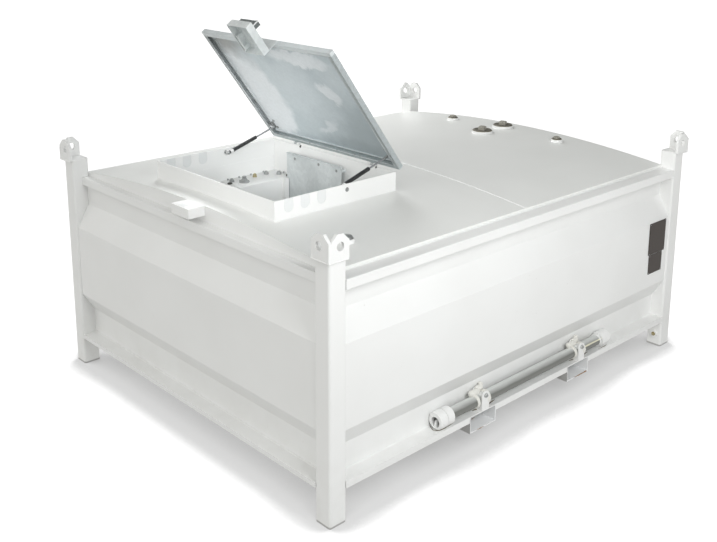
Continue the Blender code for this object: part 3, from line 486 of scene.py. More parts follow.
def turn(bm, profile, frame, steps=28):
    """Add a turned form from (radius, height) points; a radius of 0 closes it on its axis."""
    rings = []
    for radius, height in profile:
        count = steps if radius > 0 else 1
        points = arc(radius, (360 * i / count for i in range(count)))
        rings.append([bm.verts.new(frame @ Vector((*point, height))) for point in points])
    for low, high in zip(rings, rings[1:]):
        for i in range(steps):
            j = (i + 1) % steps
            corners = (low[i % len(low)], low[j % len(low)], high[j % len(high)], high[i % len(high)])
            bm.faces.new(tuple(dict.fromkeys(corners)))


def disc(bm, frame, radius, low, high, steps=20):
    """Add a plain round disc between two heights."""
    turn(bm, [(0, low), (radius, low), (radius, high), (0, high)], frame, steps)


def prism(bm, outline, low, high, frame):
    """Add a flat outline given a thickness along the frame's Z."""
    ends = [[bm.verts.new(frame @ Vector((a, b, height))) for a, b in outline] for height in (low, high)]
    bm.faces.new(ends[0][::-1])
    bm.faces.new(ends[1])
    for i in range(len(outline)):
        j = (i + 1) % len(outline)
        bm.faces.new((ends[0][i], ends[0][j], ends[1][j], ends[1][i]))


def bar(bm, low, high, frame=Matrix.Identity(4), edge=0.0006):
    """Add a bar between two corners with its edges eased."""
    start = len(bm.verts)
    outline = [(low[0], low[1]), (high[0], low[1]), (high[0], high[1]), (low[0], high[1])]
    prism(bm, outline, low[2], high[2], frame)
    bm.verts.ensure_lookup_table()
    made = set(bm.verts[start:])
    edges = [e for e in bm.edges if e.verts[0] in made and e.verts[1] in made]
    bmesh.ops.bevel(bm, geom=edges, offset=edge, segments=1, affect="EDGES")


def bolt(bm, frame, across, head, washer, shank=0):
    """Add a hex bolt head on a washer, with the screw's end standing out of it."""
    disc(bm, frame, washer, -0.001, 0.0016)
    radius = across / 2
    prism(bm, arc(radius * 1.12, HEXAGON), 0.0012, head, frame)
    turn(bm, [(0, head - 0.0005), (radius * 0.95, head - 0.0005), (radius * 0.8, head + 0.0012),
              (0, head + 0.0012)], frame, 18)
    if shank:
        turn(bm, [(0, head), (radius * 0.5, head), (radius * 0.5, head + shank - 0.001),
                  (radius * 0.4, head + shank), (0, head + shank)], frame, 14)


def bead(bm, rng, points, size, across, up=UP, step=0.012):
    """Add a weld bead along points: a low ribbed fillet, closed at its ends."""
    path = []
    for start, end in zip(points, points[1:]):
        start, end = Vector(start), Vector(end)
        count = max(1, round((end - start).length / step))
        path += [start.lerp(end, i / count) for i in range(count)]
    path.append(Vector(points[-1]))
    across, up = Vector(across), Vector(up)
    rings = []
    for i, here in enumerate(path):
        width = size * (1 + rng.uniform(-0.18, 0.18) + (0.12 if i % 2 else -0.12))
        ring = []
        for k in range(7):
            angle = pi * k / 6
            ring.append(bm.verts.new(here + across * (width * cos(angle))
                                     + up * (width * 0.8 * sin(angle) - size * 0.15)))
        rings.append(ring)
    for low, high in zip(rings, rings[1:]):
        for k in range(7):
            m = (k + 1) % 7
            bm.faces.new((low[k], low[m], high[m], high[k]))
    bm.faces.new(rings[0][::-1])
    bm.faces.new(rings[-1])


def put(name, data):
    """A new object in the scene."""
    obj = bpy.data.objects.new(name, data)
    bpy.context.scene.collection.objects.link(obj)
    return obj


def piece(name, bm, look, body="root"):
    """Finish a mesh and put it in the scene as a piece that rides on a body."""
    bmesh.ops.recalc_face_normals(bm, faces=bm.faces)
    mesh = bpy.data.meshes.new(name)
    bm.to_mesh(mesh)
    bm.free()
    mesh.shade_smooth()
    mesh.set_sharp_from_angle(angle=radians(SHARP))
    mesh.materials.append(LOOKS[look])
    obj = put(name, mesh)
    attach(obj, body)
    return obj


def make_roof_bosses():
    """Welded rings on the roof, each with its own square-headed steel plug in it."""
    for name, x, y, radius in ROOF_BOSSES:
        short = name.replace("roof_plug_", "")
        inner = radius - 0.0045
        top = (x, y, roof_height(y) + BOSS_RISE)
        here = frame_at(top)
        ring = bmesh.new()
        turn(ring, [(0, -0.0195), (radius + 0.0025, -0.0195), (radius + 0.0025, -0.0145),
                    (radius + 0.0003, -0.012), (radius - 0.0005, -0.003), (radius - 0.0022, 0),
                    (inner + 0.001, 0), (inner, -0.002), (inner, -0.008), (0, -0.008)], here, 36)
        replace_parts(piece("boss_ring_" + short, ring, "paint"), name)
        plug = bmesh.new()
        edge = inner - 0.0015
        turn(plug, [(0, -0.0075), (edge - 0.001, -0.0075), (edge - 0.001, -0.002), (edge, 0),
                    (edge - 0.0005, 0.003), (edge - 0.004, 0.006), (edge - 0.012, 0.0065),
                    (edge * 0.55, 0.0045), (0, 0.0045)], here, 36)
        if short == "corner":
            turn(plug, [(0, 0.003), (0.032, 0.003), (0.034, 0.006), (0.032, 0.01), (0.026, 0.011),
                        (0.024, 0.008), (0, 0.008)], here)
            piece("boss_plug_" + short, plug, "dull_steel")
            continue
        piece("boss_plug_" + short, plug, "plug")
        thread = bmesh.new()
        disc(thread, here, inner - 0.0004, -0.0012, 0.0006, 36)
        piece("boss_thread_" + short, thread, "brass")
        head = bmesh.new()
        half, rise, spin = (0.0225, 0.027, 18) if radius > 0.05 else (0.0165, 0.017, -12)
        square = [(half * a, half * b) for a, b in ((-1, -0.8), (-0.8, -1), (0.8, -1), (1, -0.8), (1, 0.8),
                                                    (0.8, 1), (-0.8, 1), (-1, 0.8))]
        turned = frame_at(top, spin=spin)
        prism(head, square, 0.003, rise - 0.003, turned)
        prism(head, [(0.88 * a, 0.88 * b) for a, b in square], rise - 0.0035, rise, turned)
        piece("boss_head_" + short, head, "plug_head")


def make_slot_inserts():
    """Pale blanking plates that close the U-shaped slots in both long sides of the well."""
    upright = Matrix(((1, 0, 0, 0), (0, 0, 1, 0), (0, 1, 0, 0), (0, 0, 0, 1)))
    for side, sy in SIDES:
        bm = bmesh.new()
        for centre in SLOT_CENTRES:
            outline = [(centre - SLOT_RADIUS, WELL_TOP - 0.0005),
                       *arc(SLOT_RADIUS, range(180, 361, 15), (centre, SLOT_ARC_Z)),
                       (centre + SLOT_RADIUS, WELL_TOP - 0.0005)]
            for face in (WELL_Y - 0.0015, WELL_Y - 0.0044):
                prism(bm, outline, *sorted((sy * face, sy * (face + 0.0009))), upright)
        piece("slot_inserts_" + side, bm, "insert")


def make_shelf():
    """Stepped-up tank top in the well with its corner post, edges eased."""
    bm = bmesh.new()
    bar(bm, (-0.81, 0.33, WELL_FLOOR), (-0.4103, 0.5197, SHELF_TOP), edge=0.003)
    bar(bm, (-0.502, 0.303, WELL_FLOOR), (-0.473, 0.333, SHELF_TOP), edge=0.0015)
    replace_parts(piece("well_shelf", bm, "paint"), "fittings_shelf")
    rng = random.Random(11)
    seam = bmesh.new()
    bead(seam, rng, [(x, 0.5185, SHELF_TOP) for x in (-0.81, -0.412)], 0.003, (0, -1, 0))
    bead(seam, rng, [(-0.4115, y, SHELF_TOP) for y in (0.332, 0.517)], 0.003, (-1, 0, 0))
    piece("shelf_welds", seam, "paint")


def make_shelf_fittings():
    """Small pipe fittings, nuts and studs on the well's shelf."""
    steel = bmesh.new()
    for x, y, across in ((-0.771, 0.463, 0.024), (-0.517, 0.466, 0.025), (-0.461, 0.4135, 0.025)):
        here = frame_at((x, y, SHELF_TOP), spin=20)
        disc(steel, here, across * 0.62, 0, 0.004)
        prism(steel, arc(across * 0.56, HEXAGON), 0.004, 0.012, here)
        turn(steel, [(0, 0.012), (across * 0.36, 0.012), (across * 0.36, 0.019), (across * 0.26, 0.019),
                     (across * 0.26, 0.016), (0, 0.016)], here, 18)
    for x, y in ((-0.7677, 0.507), (-0.6851, 0.5085), (-0.5982, 0.5085), (-0.5044, 0.509), (-0.4225, 0.4165)):
        turn(steel, [(0, 0), (0.0055, 0), (0.0055, 0.006), (0.004, 0.009), (0, 0.009)],
             frame_at((x, y, SHELF_TOP)), 14)
    piece("shelf_nuts", steel, "dull_steel")
    cone = bmesh.new()
    filler = (-0.729, 0.397, SHELF_TOP)
    turn(cone, [(0, 0.003), (0.03, 0.003), (0.031, 0.006), (0.0295, 0.009), (0.023, 0.012), (0.0175, 0.02),
                (0.013, 0.027), (0.0095, 0.029), (0.0095, 0.031), (0.0125, 0.032), (0.0125, 0.038),
                (0.011, 0.04), (0, 0.04)], frame_at(filler), 32)
    for angle in (40, 130, 220, 310):
        prism(cone, [(0.01, -0.002), (0.029, -0.002), (0.029, 0.002), (0.01, 0.002)], 0.005, 0.0165,
              frame_at(filler, spin=angle))
    piece("shelf_filler_cap", cone, "dull_steel")
    base = bmesh.new()
    turn(base, [(0, 0), (0.04, 0), (0.04, 0.003), (0.038, 0.0045), (0.031, 0.0045), (0.03, 0.003),
                (0, 0.003)], frame_at(filler), 36)
    piece("shelf_filler_ring", base, "paint")
    brass = bmesh.new()
    here = frame_at((-0.606, 0.4605, SHELF_TOP), spin=10)
    disc(brass, here, 0.0135, 0, 0.004)
    prism(brass, arc(0.012, HEXAGON), 0.004, 0.014, here)
    turn(brass, [(0, 0.014), (0.0085, 0.014), (0.009, 0.017), (0.0065, 0.021), (0, 0.022)], here, 18)
    piece("shelf_brass_nipple", brass, "brass")
    dark = bmesh.new()
    turn(dark, [(0, 0), (0.0145, 0), (0.0145, 0.004), (0.012, 0.006), (0.006, 0.005), (0, 0.005)],
         frame_at((-0.8035, 0.437, SHELF_TOP - 0.001)), 24)
    turn(dark, [(0, 0), (0.0035, 0), (0.0035, 0.012), (0, 0.013)], frame_at((-0.456, 0.345, SHELF_TOP)), 12)
    turn(dark, [(0, 0), (0.006, 0), (0.006, 0.012), (0.004, 0.016), (0, 0.016)],
         frame_at((-1.2195, 0.5, 1.3), "X"), 14)
    piece("well_dark_plugs", dark, "dark_rubber")


def make_panel_bolts():
    """Bolts on the well's galvanised panel and the line of its folded top edge."""
    bm = bmesh.new()
    for y, z in ((0.2488, 1.2777), (0.035, 1.285), (-0.118, 1.2777), (0.2488, 0.8), (-0.118, 0.8)):
        bolt(bm, frame_at((-0.47, y, z), "-X", 12), 0.011, 0.004, 0.0085)
    piece("panel_bolts", bm, "dull_steel")
    edge = bmesh.new()
    bar(edge, (-0.4735, -0.158, 1.2975), (-0.4702, 0.323, 1.3045), edge=0.0008)
    piece("panel_edge", edge, "zinc_bright")


def make_wall_bolts():
    """The struts' fixing bolts, seen on the outer faces of the well's long sides."""
    for side, sy in SIDES:
        bm = bmesh.new()
        here = frame_at((-0.757, sy * WELL_Y, 1.313), "-Y" if sy < 0 else "Y", 15)
        bolt(bm, here, 0.015, 0.007, 0.012, 0.004)
        piece("strut_wall_bolt_" + side, bm, "dull_steel")


def make_strut_ends():
    """Ball sockets with their clips at the ends of both gas struts."""
    for side, sy in SIDES:
        frame, length = strut_frame(sy)
        axis = "Y" if sy < 0 else "-Y"
        tube, rod = "strut_%s_cylinder" % side, "strut_%s_rod" % side
        sleeve = bmesh.new()
        turn(sleeve, [(0, 0.0125), (0.008, 0.0125), (0.0088, 0.0135), (0.0088, 0.0335), (0.0078, 0.0345),
                      (0, 0.0345)], frame, 24)
        piece("strut_sleeve_" + side, sleeve, "white_plastic", tube)
        clip = bmesh.new()
        disc(clip, frame, 0.0098, 0.0085, 0.0125)
        piece("strut_clip_" + side, clip, "black", tube)
        cup = bmesh.new()
        turn(cup, [(0, -0.0062), (0.0072, -0.0062), (0.0102, -0.004), (0.0108, 0), (0.0102, 0.004),
                   (0.0072, 0.0062), (0.004, 0.0068), (0, 0.0068)],
             frame_at((STRUT_LOW[0], sy * STRUT_Y, STRUT_LOW[1]), axis), 24)
        piece("strut_cup_" + side, cup, "dull_steel", tube)
        nut = bmesh.new()
        here = frame_at((STRUT_LOW[0], sy * (WELL_Y - 0.005), STRUT_LOW[1]), axis, 10)
        bolt(nut, here, 0.014, 0.009, 0.01)
        piece("strut_low_nut_" + side, nut, "dull_steel")
        top = bmesh.new()
        turn(top, [(0, length - 0.03), (0.0058, length - 0.03), (0.0064, length - 0.027),
                   (0.0064, length - 0.012), (0.0052, length - 0.009), (0, length - 0.009)], frame, 20)
        turn(top, [(0, -0.0058), (0.006, -0.0058), (0.0088, -0.004), (0.0094, 0), (0.0088, 0.004),
                   (0.006, 0.0058), (0, 0.0058)],
             frame_at((STRUT_HIGH[0], sy * STRUT_Y, STRUT_HIGH[1]), axis), 22)
        piece("strut_top_socket_" + side, top, "dull_steel", rod)


def make_lid_fixings():
    """The lid's strut brackets, bolts, rivets, lip edges and corner welds, and the screws by its hinges."""
    closed = lid_frame()
    stud = closed.inverted() @ Vector((STRUT_HIGH[0], 0, STRUT_HIGH[1]))
    x0, x1 = stud.x - 0.024, stud.x + 0.024
    metal = bmesh.new()
    for _, sy in SIDES:
        for y, z0, z1 in ((0.5185, stud.z - 0.012, LID_INSIDE),
                          (0.49, LID_INSIDE - 0.003, LID_INSIDE + 0.0004)):
            y0, y1 = sorted((sy * y, sy * 0.5225))
            bar(metal, (x0, y0, z0), (x1, y1, z1), closed)
        for x in (stud.x - 0.04, stud.x + 0.015):
            there = closed @ frame_at((x, sy * 0.478, LID_INSIDE), "-Z", 20)
            bolt(metal, there, 0.011, 0.006, 0.0085, 0.003)
    for x, y in ((-0.428, -0.059), (-0.433, -0.207), (-0.43, 0.18)):
        turn(metal, [(0, -0.0004), (0.0055, -0.0004), (0.0055, 0.0012), (0, 0.0016)],
             closed @ frame_at((x, y, LID_LIP_FACE), "-Z"), 14)
    piece("lid_brackets", metal, "dull_steel", "lid")
    seams = bmesh.new()
    for inset, width, z in ((0, 0.0028, (LID_LIP_FACE - 0.0022, LID_LIP_FACE + 0.003)),
                            (0.0075, 0.0022, (LID_INSIDE - 0.006, LID_INSIDE + 0.0004))):
        edge = LID_LIP + inset
        near, far, half = LID_NEAR - edge, LID_FAR + edge, LID_HALF - edge
        for low, high in (((far, -half), (near, -half + width)), ((far, half - width), (near, half)),
                          ((far, -half), (far + width, half)), ((near - width, -half), (near, half))):
            bar(seams, (*low, z[0]), (*high, z[1]), closed, 0.0005)
    piece("lid_lip_edges", seams, "zinc_bright", "lid")
    rng = random.Random(5)
    welds = bmesh.new()
    for sx, x in ((1, LID_NEAR), (-1, LID_FAR)):
        for sy in (-1, 1):
            ends = [closed @ Vector((x, sy * LID_HALF, z)) for z in (1.3495, 1.3775)]
            across, out = (closed.to_3x3() @ Vector(way) for way in ((sx, 0, 0), (0, sy, 0)))
            bead(welds, rng, ends, 0.0022, across.normalized(), out.normalized(), 0.005)
    piece("lid_corner_welds", welds, "zinc_bright", "lid")
    screws = bmesh.new()
    for y, z, across in ((0.269, 1.3383, 0.012), (-0.345, 1.339, 0.007), (-0.378, 1.339, 0.009)):
        bolt(screws, frame_at((-0.4075, y, z), "-X"), across, 0.005, across * 0.72)
    piece("hinge_screws", screws, "dark_steel")


def make_lock_box_details():
    """Inner web, rolled lips with a painted highlight, eye and folded tab of the padlock guard."""
    closed = lid_frame()
    for name, look, bars in LOCK_BARS:
        bm = bmesh.new()
        for low, high in bars:
            bar(bm, low, high, closed)
        piece(name, bm, look, "lid")
    eye = bmesh.new()
    turn(eye, [(0, -0.001), (0.0085, -0.001), (0.0095, 0.001), (0.0085, 0.003), (0.0055, 0.003),
               (0.005, 0.001), (0, 0.001)], closed @ frame_at((-1.365, 0.03, 1.262), "-Z"), 20)
    piece("lock_box_eye", eye, "zinc_bright", "lid")


def make_latch_details():
    """Slot plate and weld of the latch bracket under the lock box."""
    bm = bmesh.new()
    bar(bm, (-1.436, -0.06, 1.2545), (-1.408, -0.01, 1.256))
    piece("latch_slot", bm, "insert")
    rng = random.Random(21)
    weld = bmesh.new()
    for y, sy in ((-0.117, -1), (0.037, 1)):
        bead(weld, rng, [(x, y, 1.2542) for x in (-1.447, -1.352)], 0.0022, (0, sy, 0))
    piece("latch_welds", weld, "paint")


def make_frame_welds():
    """Weld beads: roof skirt, roof seam, well coaming, lug feet and lug corners."""
    rng = random.Random(3)
    skirt = bmesh.new()
    for sy in (-1, 1):
        bead(skirt, rng, [(x, sy * 1.0945, 1.1695) for x in (-1.348, 1.348)], 0.0055, (0, sy, 0), step=0.018)
        for sx in (-1, 1):
            bead(skirt, rng, [(sx * 1.3485, sy * 1.0965, z) for z in (1.17, 1.186)], 0.006, (0, sy, 0),
                 (-sx, 0, 0), 0.006)
    piece("roof_skirt_welds", skirt, "paint")
    seam = bmesh.new()
    bead(seam, rng, roof_line(0, 1.09, 40), 0.0045, (1, 0, 0), step=0.02)
    piece("roof_seam_weld", seam, "paint")
    coaming = bmesh.new()
    for sy in (-1, 1):
        bead(coaming, rng, [(x, sy * WELL_Y, roof_height(WELL_Y)) for x in WELL_X], 0.0055, (0, sy, 0),
             step=0.018)
    for x, sx in zip(WELL_X, (-1, 1)):
        bead(coaming, rng, roof_line(x, WELL_Y, 16), 0.0055, (sx, 0, 0), step=0.018)
        for sy in (-1, 1):
            bead(coaming, rng, [(x, sy * (WELL_Y - 0.0045), z) for z in (1.24, WELL_TOP - 0.003)], 0.002,
                 (0, sy, 0), (sx, 0, 0), 0.008)
    piece("coaming_welds", coaming, "paint")
    for corner, sx, sy in CORNERS:
        weld = bmesh.new()
        bead(weld, rng, [(x, sy * 1.1965, 1.2685) for x in sorted((sx * 1.353, sx * 1.466))], 0.0032,
             (0, 0, -1), (0, sy, 0), 0.009)
        bead(weld, rng, [(sx * 1.4665, y, 1.2685) for y in sorted((sy * 1.083, sy * 1.196))], 0.0032,
             (0, 0, -1), (sx, 0, 0), 0.009)
        bead(weld, rng, [(sx * 1.4655, sy * 1.1955, z) for z in (1.266, 1.352)], 0.0035,
             (0.7 * sx, -0.7 * sy, 0), (0.7 * sx, 0.7 * sy, 0), 0.008)
        piece("lug_welds_" + corner, weld, "paint")


def make_post_welds():
    """Beads where rails and wall ends meet the posts."""
    rng = random.Random(8)
    bm = bmesh.new()
    for sx in (-1, 1):
        for sy in (-1, 1):
            for ends in ((1.12, 1.166), (0.168, 0.198)):
                bead(bm, rng, [(sx * 1.3495, sy * 1.1795, z) for z in ends], 0.003, (-sx, 0, 0), (0, sy, 0),
                     0.007)
            for x, ends in ((1.4495, (0.168, 0.189)), (1.3945, (1.12, 1.166))):
                bead(bm, rng, [(sx * x, sy * 1.0795, z) for z in ends], 0.003, (0, -sy, 0), (sx, 0, 0),
                     0.007)
    piece("post_welds", bm, "paint")
    ledge = bmesh.new()
    for sy in (-1, 1):
        bead(ledge, rng, [(x, sy * 1.0985, 0.2005) for x in (-1.345, 1.345)], 0.0042, (0, sy, 0), step=0.018)
    for sx in (-1, 1):
        bead(ledge, rng, [(sx * 1.3685, y, 0.1915) for y in (-1.075, 1.075)], 0.0042, (sx, 0, 0), step=0.018)
    piece("ledge_welds", ledge, "paint")


def hoop(radius, low, high, ease=0, slope=0):
    """Profile of a hoop round the pipe, its outer edges eased if asked."""
    outside = ((radius - ease, low), (radius, low + slope), (radius, high - slope), (radius - ease, high))
    return ((RING_BORE, low), *dict.fromkeys(outside), (RING_BORE, high), (RING_BORE, low))


def make_pipe_details():
    """Rib that divides the end fitting's recess, a dark disc of painted shade at its floor, rings at the
    fitting and the cap.
    """
    y, z = PIPE_LINE
    deep = frame_at((FITTING_NOSE, y, z - 0.007), "X")
    ribs = bmesh.new()
    prism(ribs, [(-0.01, -0.0026), (0.0262, -0.0075), (0.0262, 0.0075), (-0.01, 0.0026)], 0.0015, 0.0215,
          deep @ Matrix.Rotation(radians(8), 4, "Z"))
    piece("fitting_ribs", ribs, "paint")
    # Painted shade: a dark disc at the floor of the recess
    floor = bmesh.new()
    disc(floor, deep, 0.0272, 0.0195, 0.0218, 28)
    piece("fitting_recess_shade", floor, "dark_steel")
    rings = bmesh.new()
    for profile in (((RING_BORE, -0.634), (0.04, -0.634), (0.044, -0.631), (0.04, -0.628), (0.0335, -0.626),
                     (RING_BORE, -0.6255), (RING_BORE, -0.634)),
                    hoop(0.036, 0.655, 0.6645), hoop(0.0395, 0.6745, 0.68)):
        turn(rings, profile, frame_at((0, y, z), "X"), 32)
    piece("pipe_rings", rings, "paint")


def make_saddle_details():
    """Bolts through the saddles' ears, a strap and a clamp with rings round the pipe, and foot welds."""
    y, z = PIPE_LINE
    sideways = Matrix(((0, 0, 1, 0), (1, 0, 0, 0), (0, 1, 0, 0), (0, 0, 0, 1)))
    for side, x in SADDLES:
        metal = bmesh.new()
        for sy, axis in ((-1, "-Y"), (1, "Y")):
            bolt(metal, frame_at((x, y + sy * 0.0367, 0.282), axis, 10), 0.017, 0.009, 0.0125, 0.005)
        piece("saddle_bolts_" + side, metal, "dull_steel")
        strap = bmesh.new()
        outline = arc(0.034, range(-20, 201, 10), PIPE_LINE)
        outline += arc(0.0305, range(200, -21, -10), PIPE_LINE)
        prism(strap, outline, x - 0.02, x + 0.02, sideways)
        piece("saddle_strap_" + side, strap, "paint")
        clamp = bmesh.new()
        for dx, dy, dz, radius, half, axis in ((-0.038, 0.011, 0.042, 0.0165, 0.036, "X"),
                                               (0.012, 0.024, 0.047, 0.015, 0.026, "X"),
                                               (0.038, 0.034, 0.048, 0.013, 0.02, "Z")):
            rounded = [(radius * a, half - b) for a, b in ((1, 0.011), (0.88, 0.005), (0.55, 0.001), (0, 0))]
            lobe = [(a, -b) for a, b in rounded[::-1]] + rounded
            turn(clamp, lobe, frame_at((x + dx, y + dy, z + dz), axis), 24)
        for profile in (hoop(0.0385, 0.016, 0.044, 0.002, 0.003), hoop(0.0365, -0.055, -0.037, 0.0015, 0.002)):
            turn(clamp, profile, frame_at((x, y, z), "X"), 32)
        piece("saddle_clamp_" + side, clamp, "cream")
        foot = bmesh.new()
        rng = random.Random(31)
        for sy in (-1, 1):
            bead(foot, rng, [(x + dx, y + sy * 0.0367, 0.2005) for dx in (-0.027, 0.027)], 0.0034, (0, sy, 0),
                 step=0.007)
        piece("saddle_welds_" + side, foot, "paint")


def make_plate_details():
    """Rivets and pressed rims of the blank data plates, and the earth boss's screw."""
    bm = bmesh.new()
    rims = bmesh.new()
    width = 0.0022
    for (x0, x1), (z0, z1), sheet in (((1.135, 1.313), (0.664, 0.864), 0.004),
                                      ((1.147, 1.292), (0.538, 0.66), 0.003)):
        face = -1.1703 - sheet
        for x in (x0 + 0.007, x1 - 0.007):
            for z in (z0 + 0.007, z1 - 0.007):
                turn(bm, [(0, 0), (0.003, 0), (0.0024, 0.0012), (0.001, 0.0018), (0, 0.0018)],
                     frame_at((x, face, z), "-Y"), 14)
        for low, high in (((x0, z0), (x1, z0 + width)), ((x0, z1 - width), (x1, z1)),
                          ((x0, z0), (x0 + width, z1)), ((x1 - width, z0), (x1, z1))):
            bar(rims, (low[0], face - 0.0006, low[1]), (high[0], face + 0.0006, high[1]), edge=0.0002)
    piece("plate_rivets", bm, "dull_steel")
    piece("plate_rims", rims, "plate")
    screw = bmesh.new()
    bolt(screw, frame_at((1.3358, -1.135, 0.078), "-X", 25), 0.016, 0.009, 0.013, 0.006)
    piece("earth_screw", screw, "brass")


def smear(bm, points, widths, height):
    """Add a thin film along points on a level surface, with a width at each."""
    left, right = [], []
    for i, (x, y) in enumerate(points):
        before, after = points[max(0, i - 1)], points[min(len(points) - 1, i + 1)]
        along = Vector((after[0] - before[0], after[1] - before[1])).normalized()
        left.append((x - along.y * widths[i], y + along.x * widths[i]))
        right.append((x + along.y * widths[i], y - along.x * widths[i]))
    prism(bm, left + right[::-1], height, height + 0.0004, Matrix.Identity(4))


def make_contact_shade_and_rust():
    """Painted contact shadows as dark films on the ledge by the pipe's fitting, cap and saddles, and rust in
    the fork pockets.
    """
    # Painted contact shadows on the ledge
    bm = bmesh.new()
    smear(bm, [(-0.7, -1.078), (-0.716, -1.1), (-0.7285, -1.122), (-0.7335, -1.14), (-0.727, -1.1535),
               (-0.709, -1.1625), (-0.68, -1.1655), (-0.65, -1.164), (-0.62, -1.159), (-0.595, -1.155)],
          [0.0008, 0.0013, 0.0017, 0.0026, 0.003, 0.003, 0.0024, 0.0016, 0.0022, 0.0008], LEDGE_TOP)
    for (_, x), reach in zip(SADDLES, (1, 0.8)):
        smear(bm, [(x + 0.036, -1.158), (x + 0.06, -1.153), (x + 0.09, -1.149), (x + 0.12, -1.146)],
              [0.0012 * reach, 0.0036 * reach, 0.004 * reach, 0.001], LEDGE_TOP)
        smear(bm, [(x - 0.06, -1.142), (x - 0.042, -1.146), (x - 0.018, -1.151), (x - 0.004, -1.154)],
              [0.001, 0.0045 * reach, 0.005 * reach, 0.001], LEDGE_TOP)
    smear(bm, [(0.66, -1.166), (0.69, -1.17), (0.72, -1.17), (0.745, -1.166)],
          [0.0006, 0.0018, 0.0026, 0.0008], LEDGE_TOP)
    piece("ledge_contact_shade", bm, "contact_shade")
    rust = bmesh.new()
    smear(rust, [(-0.452, -1.187), (-0.434, -1.187), (-0.416, -1.186), (-0.402, -1.187)],
          [0.0008, 0.002, 0.0024, 0.0006], POCKET_FLOOR)
    smear(rust, [(-0.395, -1.1), (-0.38, -1.095), (-0.362, -1.094)], [0.0008, 0.0016, 0.0006], POCKET_FLOOR)
    smear(rust, [(0.4, -1.186), (0.44, -1.186), (0.48, -1.186), (0.515, -1.187)],
          [0.0008, 0.003, 0.0032, 0.002], POCKET_FLOOR)
    smear(rust, [(0.5, -1.184), (0.512, -1.184), (0.521, -1.185)], [0.0022, 0.0045, 0.003],
          POCKET_FLOOR + 0.0003)
    piece("pocket_rust", rust, "rust")


def make_floor(look):
    """Plain pale floor, far larger than the view, a millimetre under the feet."""
    mesh = bpy.data.meshes.new("floor")
    corners = [(a * FLOOR_REACH, b * FLOOR_REACH, 0) for a, b in ((-1, -1), (1, -1), (1, 1), (-1, 1))]
    mesh.from_pydata(corners, [], [(0, 1, 2, 3)])
    mesh.materials.append(look)
    floor = put("floor", mesh)
    floor.location.z = -0.001
    for ray in ("diffuse", "glossy", "shadow"):
        setattr(floor, "visible_" + ray, False)


def make_backdrop(look):
    """White half dome round the floor that the camera alone sees."""
    bm = bmesh.new()
    turn(bm, arc(DOME_RADIUS, range(0, 90, 10), (0, -2)) + [(0, DOME_RADIUS)], Matrix.Identity(4), 48)
    mesh = bpy.data.meshes.new("backdrop")
    bm.to_mesh(mesh)
    bm.free()
    mesh.materials.append(look)
    dome = put("backdrop", mesh)
    for ray in ("diffuse", "glossy", "transmission", "shadow", "volume_scatter"):
        setattr(dome, "visible_" + ray, False)


def make_light():
    """Soft studio: a surround bright towards the left and the ground, and lamps at front and back."""
    world = bpy.data.worlds.new("studio")
    bpy.context.scene.world = world
    world.use_nodes = True
    tree = world.node_tree
    toward = node(tree, "TexCoord").outputs["Generated"]
    halves = []
    for lobes in (SKY_LIGHT, GROUND_LIGHT):
        total = 0
        for direction, level in lobes:
            facing = node(tree, "VectorMath", {0: toward, 1: direction}, operation="DOT_PRODUCT")
            facing = maths("MAXIMUM", facing.outputs["Value"])
            total = add(times(facing, level), total)
        halves.append(total)
    height = node(tree, "SeparateXYZ", {0: toward}).outputs["Z"]
    over = maths("GREATER_THAN", height)
    under = maths("LESS_THAN", over, 0.5)
    background = tree.nodes["Background"]
    tree.links.new(add(times(halves[0], over), times(halves[1], under)),
                   background.inputs["Strength"])
    background.inputs["Color"].default_value = SKY_COLOUR
    for name, at, aim, size, watts in LAMPS:
        data = bpy.data.lights.new(name, "AREA")
        data.shape = "DISK"
        data.size = size
        add_lamp(data, at, aim, watts)
    data = bpy.data.lights.new("lamp_lid", "SPOT")
    data.spot_size = radians(22)
    data.spot_blend = 0.7
    data.shadow_soft_size = 0.35
    add_lamp(data, SPOT_PLACE, SPOT_AIM, SPOT_WATTS)


def add_lamp(data, at, aim, watts):
    """Put a lamp in the scene, aimed at a point and unseen by the camera."""
    data.color = LAMP_COLOUR
    data.energy = watts
    lamp = put(data.name, data)
    lamp.location = at
    lamp.rotation_euler = (Vector(aim) - Vector(at)).to_track_quat("-Z", "Y").to_euler()
    lamp.visible_camera = False


def make_camera():
    """The photograph's camera."""
    data = bpy.data.cameras.new("photo_camera")
    camera = put("photo_camera", data)
    a, e, roll = (radians(angle) for angle in (CAMERA_AZIMUTH, CAMERA_ELEVATION, CAMERA_ROLL))
    back = Vector((sin(a) * cos(e), -cos(a) * cos(e), sin(e)))
    right = Vector((cos(a), sin(a), 0))
    up = back.cross(right)
    across = cos(roll) * right + sin(roll) * up
    upward = cos(roll) * up - sin(roll) * right
    facing = Matrix((across, upward, back)).transposed()
    camera.matrix_world = Matrix.Translation(CAMERA_PLACE) @ facing.to_4x4()
    data.sensor_width = SENSOR
    data.lens = FOCAL_PIXELS * SENSOR / IMAGE_WIDTH
    data.shift_x = PRINCIPAL_SHIFT[0] / IMAGE_WIDTH
    data.shift_y = PRINCIPAL_SHIFT[1] / IMAGE_WIDTH
    data.clip_start = 0.05
    data.clip_end = 1000
    bpy.context.scene.camera = camera
    bpy.context.scene.view_settings.view_transform = "Standard"


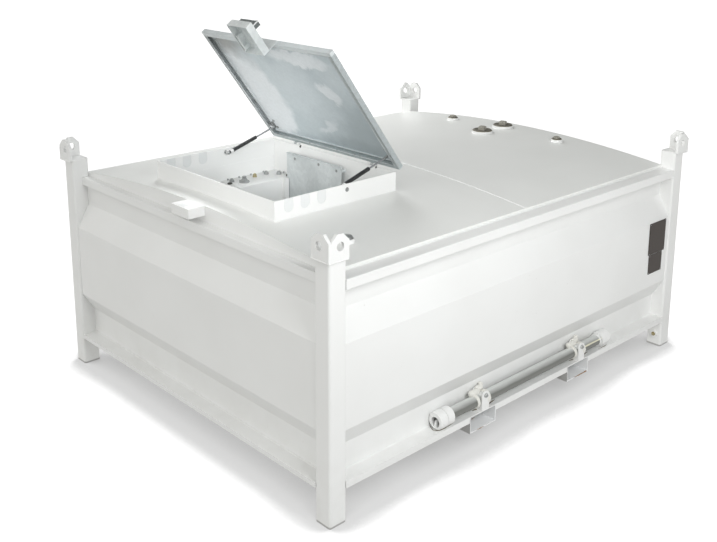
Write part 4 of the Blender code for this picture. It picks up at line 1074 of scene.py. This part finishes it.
def make_looks():
    """Make every finish, by its short name."""
    LOOKS.update({
        "paint": white_paint("white_paint"),
        "roof_paint": white_paint("white_paint_roof", (0.842, 0.852, 0.834), (0.816, 0.826, 0.806)),
        "zinc": galvanised("galvanised"),
        "panel": galvanised("galvanised_panel", (0.62, 0.655, 0.66), (0.74, 0.775, 0.78), 0.3),
        # Pale zinc for the lock box and its web: painted light in their shaded inside
        "box": galvanised("galvanised_box_painted_light", (0.76, 0.8, 0.8), (0.92, 0.945, 0.945), 0.2),
        "lid": lid_zinc("lid_zinc"),
        "side_pipe": pipe_zinc("pipe_zinc"),
        "pocket_paint": pocket_paint("pocket_paint"),
        "contact_shade": contact_shade("contact_shade"),
        "rust": plain_metal("rust", (0.36, 0.17, 0.05), 0.8, 0, (0.1, 0.07, 0.04), 0.9),
        "black": black_enamel("strut_black"),
        "rod": plain_metal("bright_rod", (0.3, 0.31, 0.32), 0.3, 0.5, worn=0.05),
        "plate": dark_plate("dark_plate"),
        "plug": plain_metal("plug_steel", (0.17, 0.16, 0.13), 0.5, 0.3, (0.05, 0.045, 0.04), 0.9),
        "plug_head": plain_metal("plug_head_steel", (0.4, 0.385, 0.34), 0.5, 0.3, (0.2, 0.19, 0.16), 0.7),
        "tab": plain_metal("tab_zinc", (0.15, 0.17, 0.17), 0.5, 0.2, (0.3, 0.32, 0.32), 0.7),
        # Near-white zinc: painted highlight on the lock box's rolled lips
        "highlight_zinc_edge": plain_metal("highlight_zinc_edge", (0.86, 0.88, 0.88), 0.45, 0.1, (0.6, 0.62, 0.62), 0.5),
        "dull_steel": plain_metal("dull_steel", (0.42, 0.43, 0.43), 0.38, 0.8),
        "dark_steel": plain_metal("dark_steel", (0.07, 0.07, 0.07), 0.5, 0.5),
        "dark_rubber": plain_metal("dark_rubber", (0.05, 0.05, 0.045), 0.6, 0),
        "brass": plain_metal("old_brass", (0.5, 0.44, 0.27), 0.4, 0.8),
        "zinc_bright": galvanised("galvanised_bright", (0.56, 0.59, 0.6), (0.76, 0.785, 0.79)),
        "insert": white_paint("blanking_plate", (0.775, 0.79, 0.788), (0.755, 0.77, 0.768), 0),
        "cream": white_paint("cream_enamel", (0.8, 0.795, 0.755), (0.74, 0.73, 0.68), 0),
        "white_plastic": white_paint("white_plastic", (0.82, 0.82, 0.81), (0.78, 0.78, 0.77), 0),
    })


def main():
    make_looks()
    dress_nodes()
    for make in (make_roof_bosses, make_slot_inserts, make_shelf, make_shelf_fittings, make_panel_bolts,
                 make_wall_bolts, make_strut_ends, make_lid_fixings, make_lock_box_details, make_latch_details,
                 make_frame_welds, make_post_welds, make_pipe_details, make_saddle_details, make_plate_details,
                 make_contact_shade_and_rust):
        make()
    make_floor(floor_paper("floor_paper"))
    make_backdrop(backdrop_paper("backdrop_paper"))
    make_light()
    make_camera()


main()
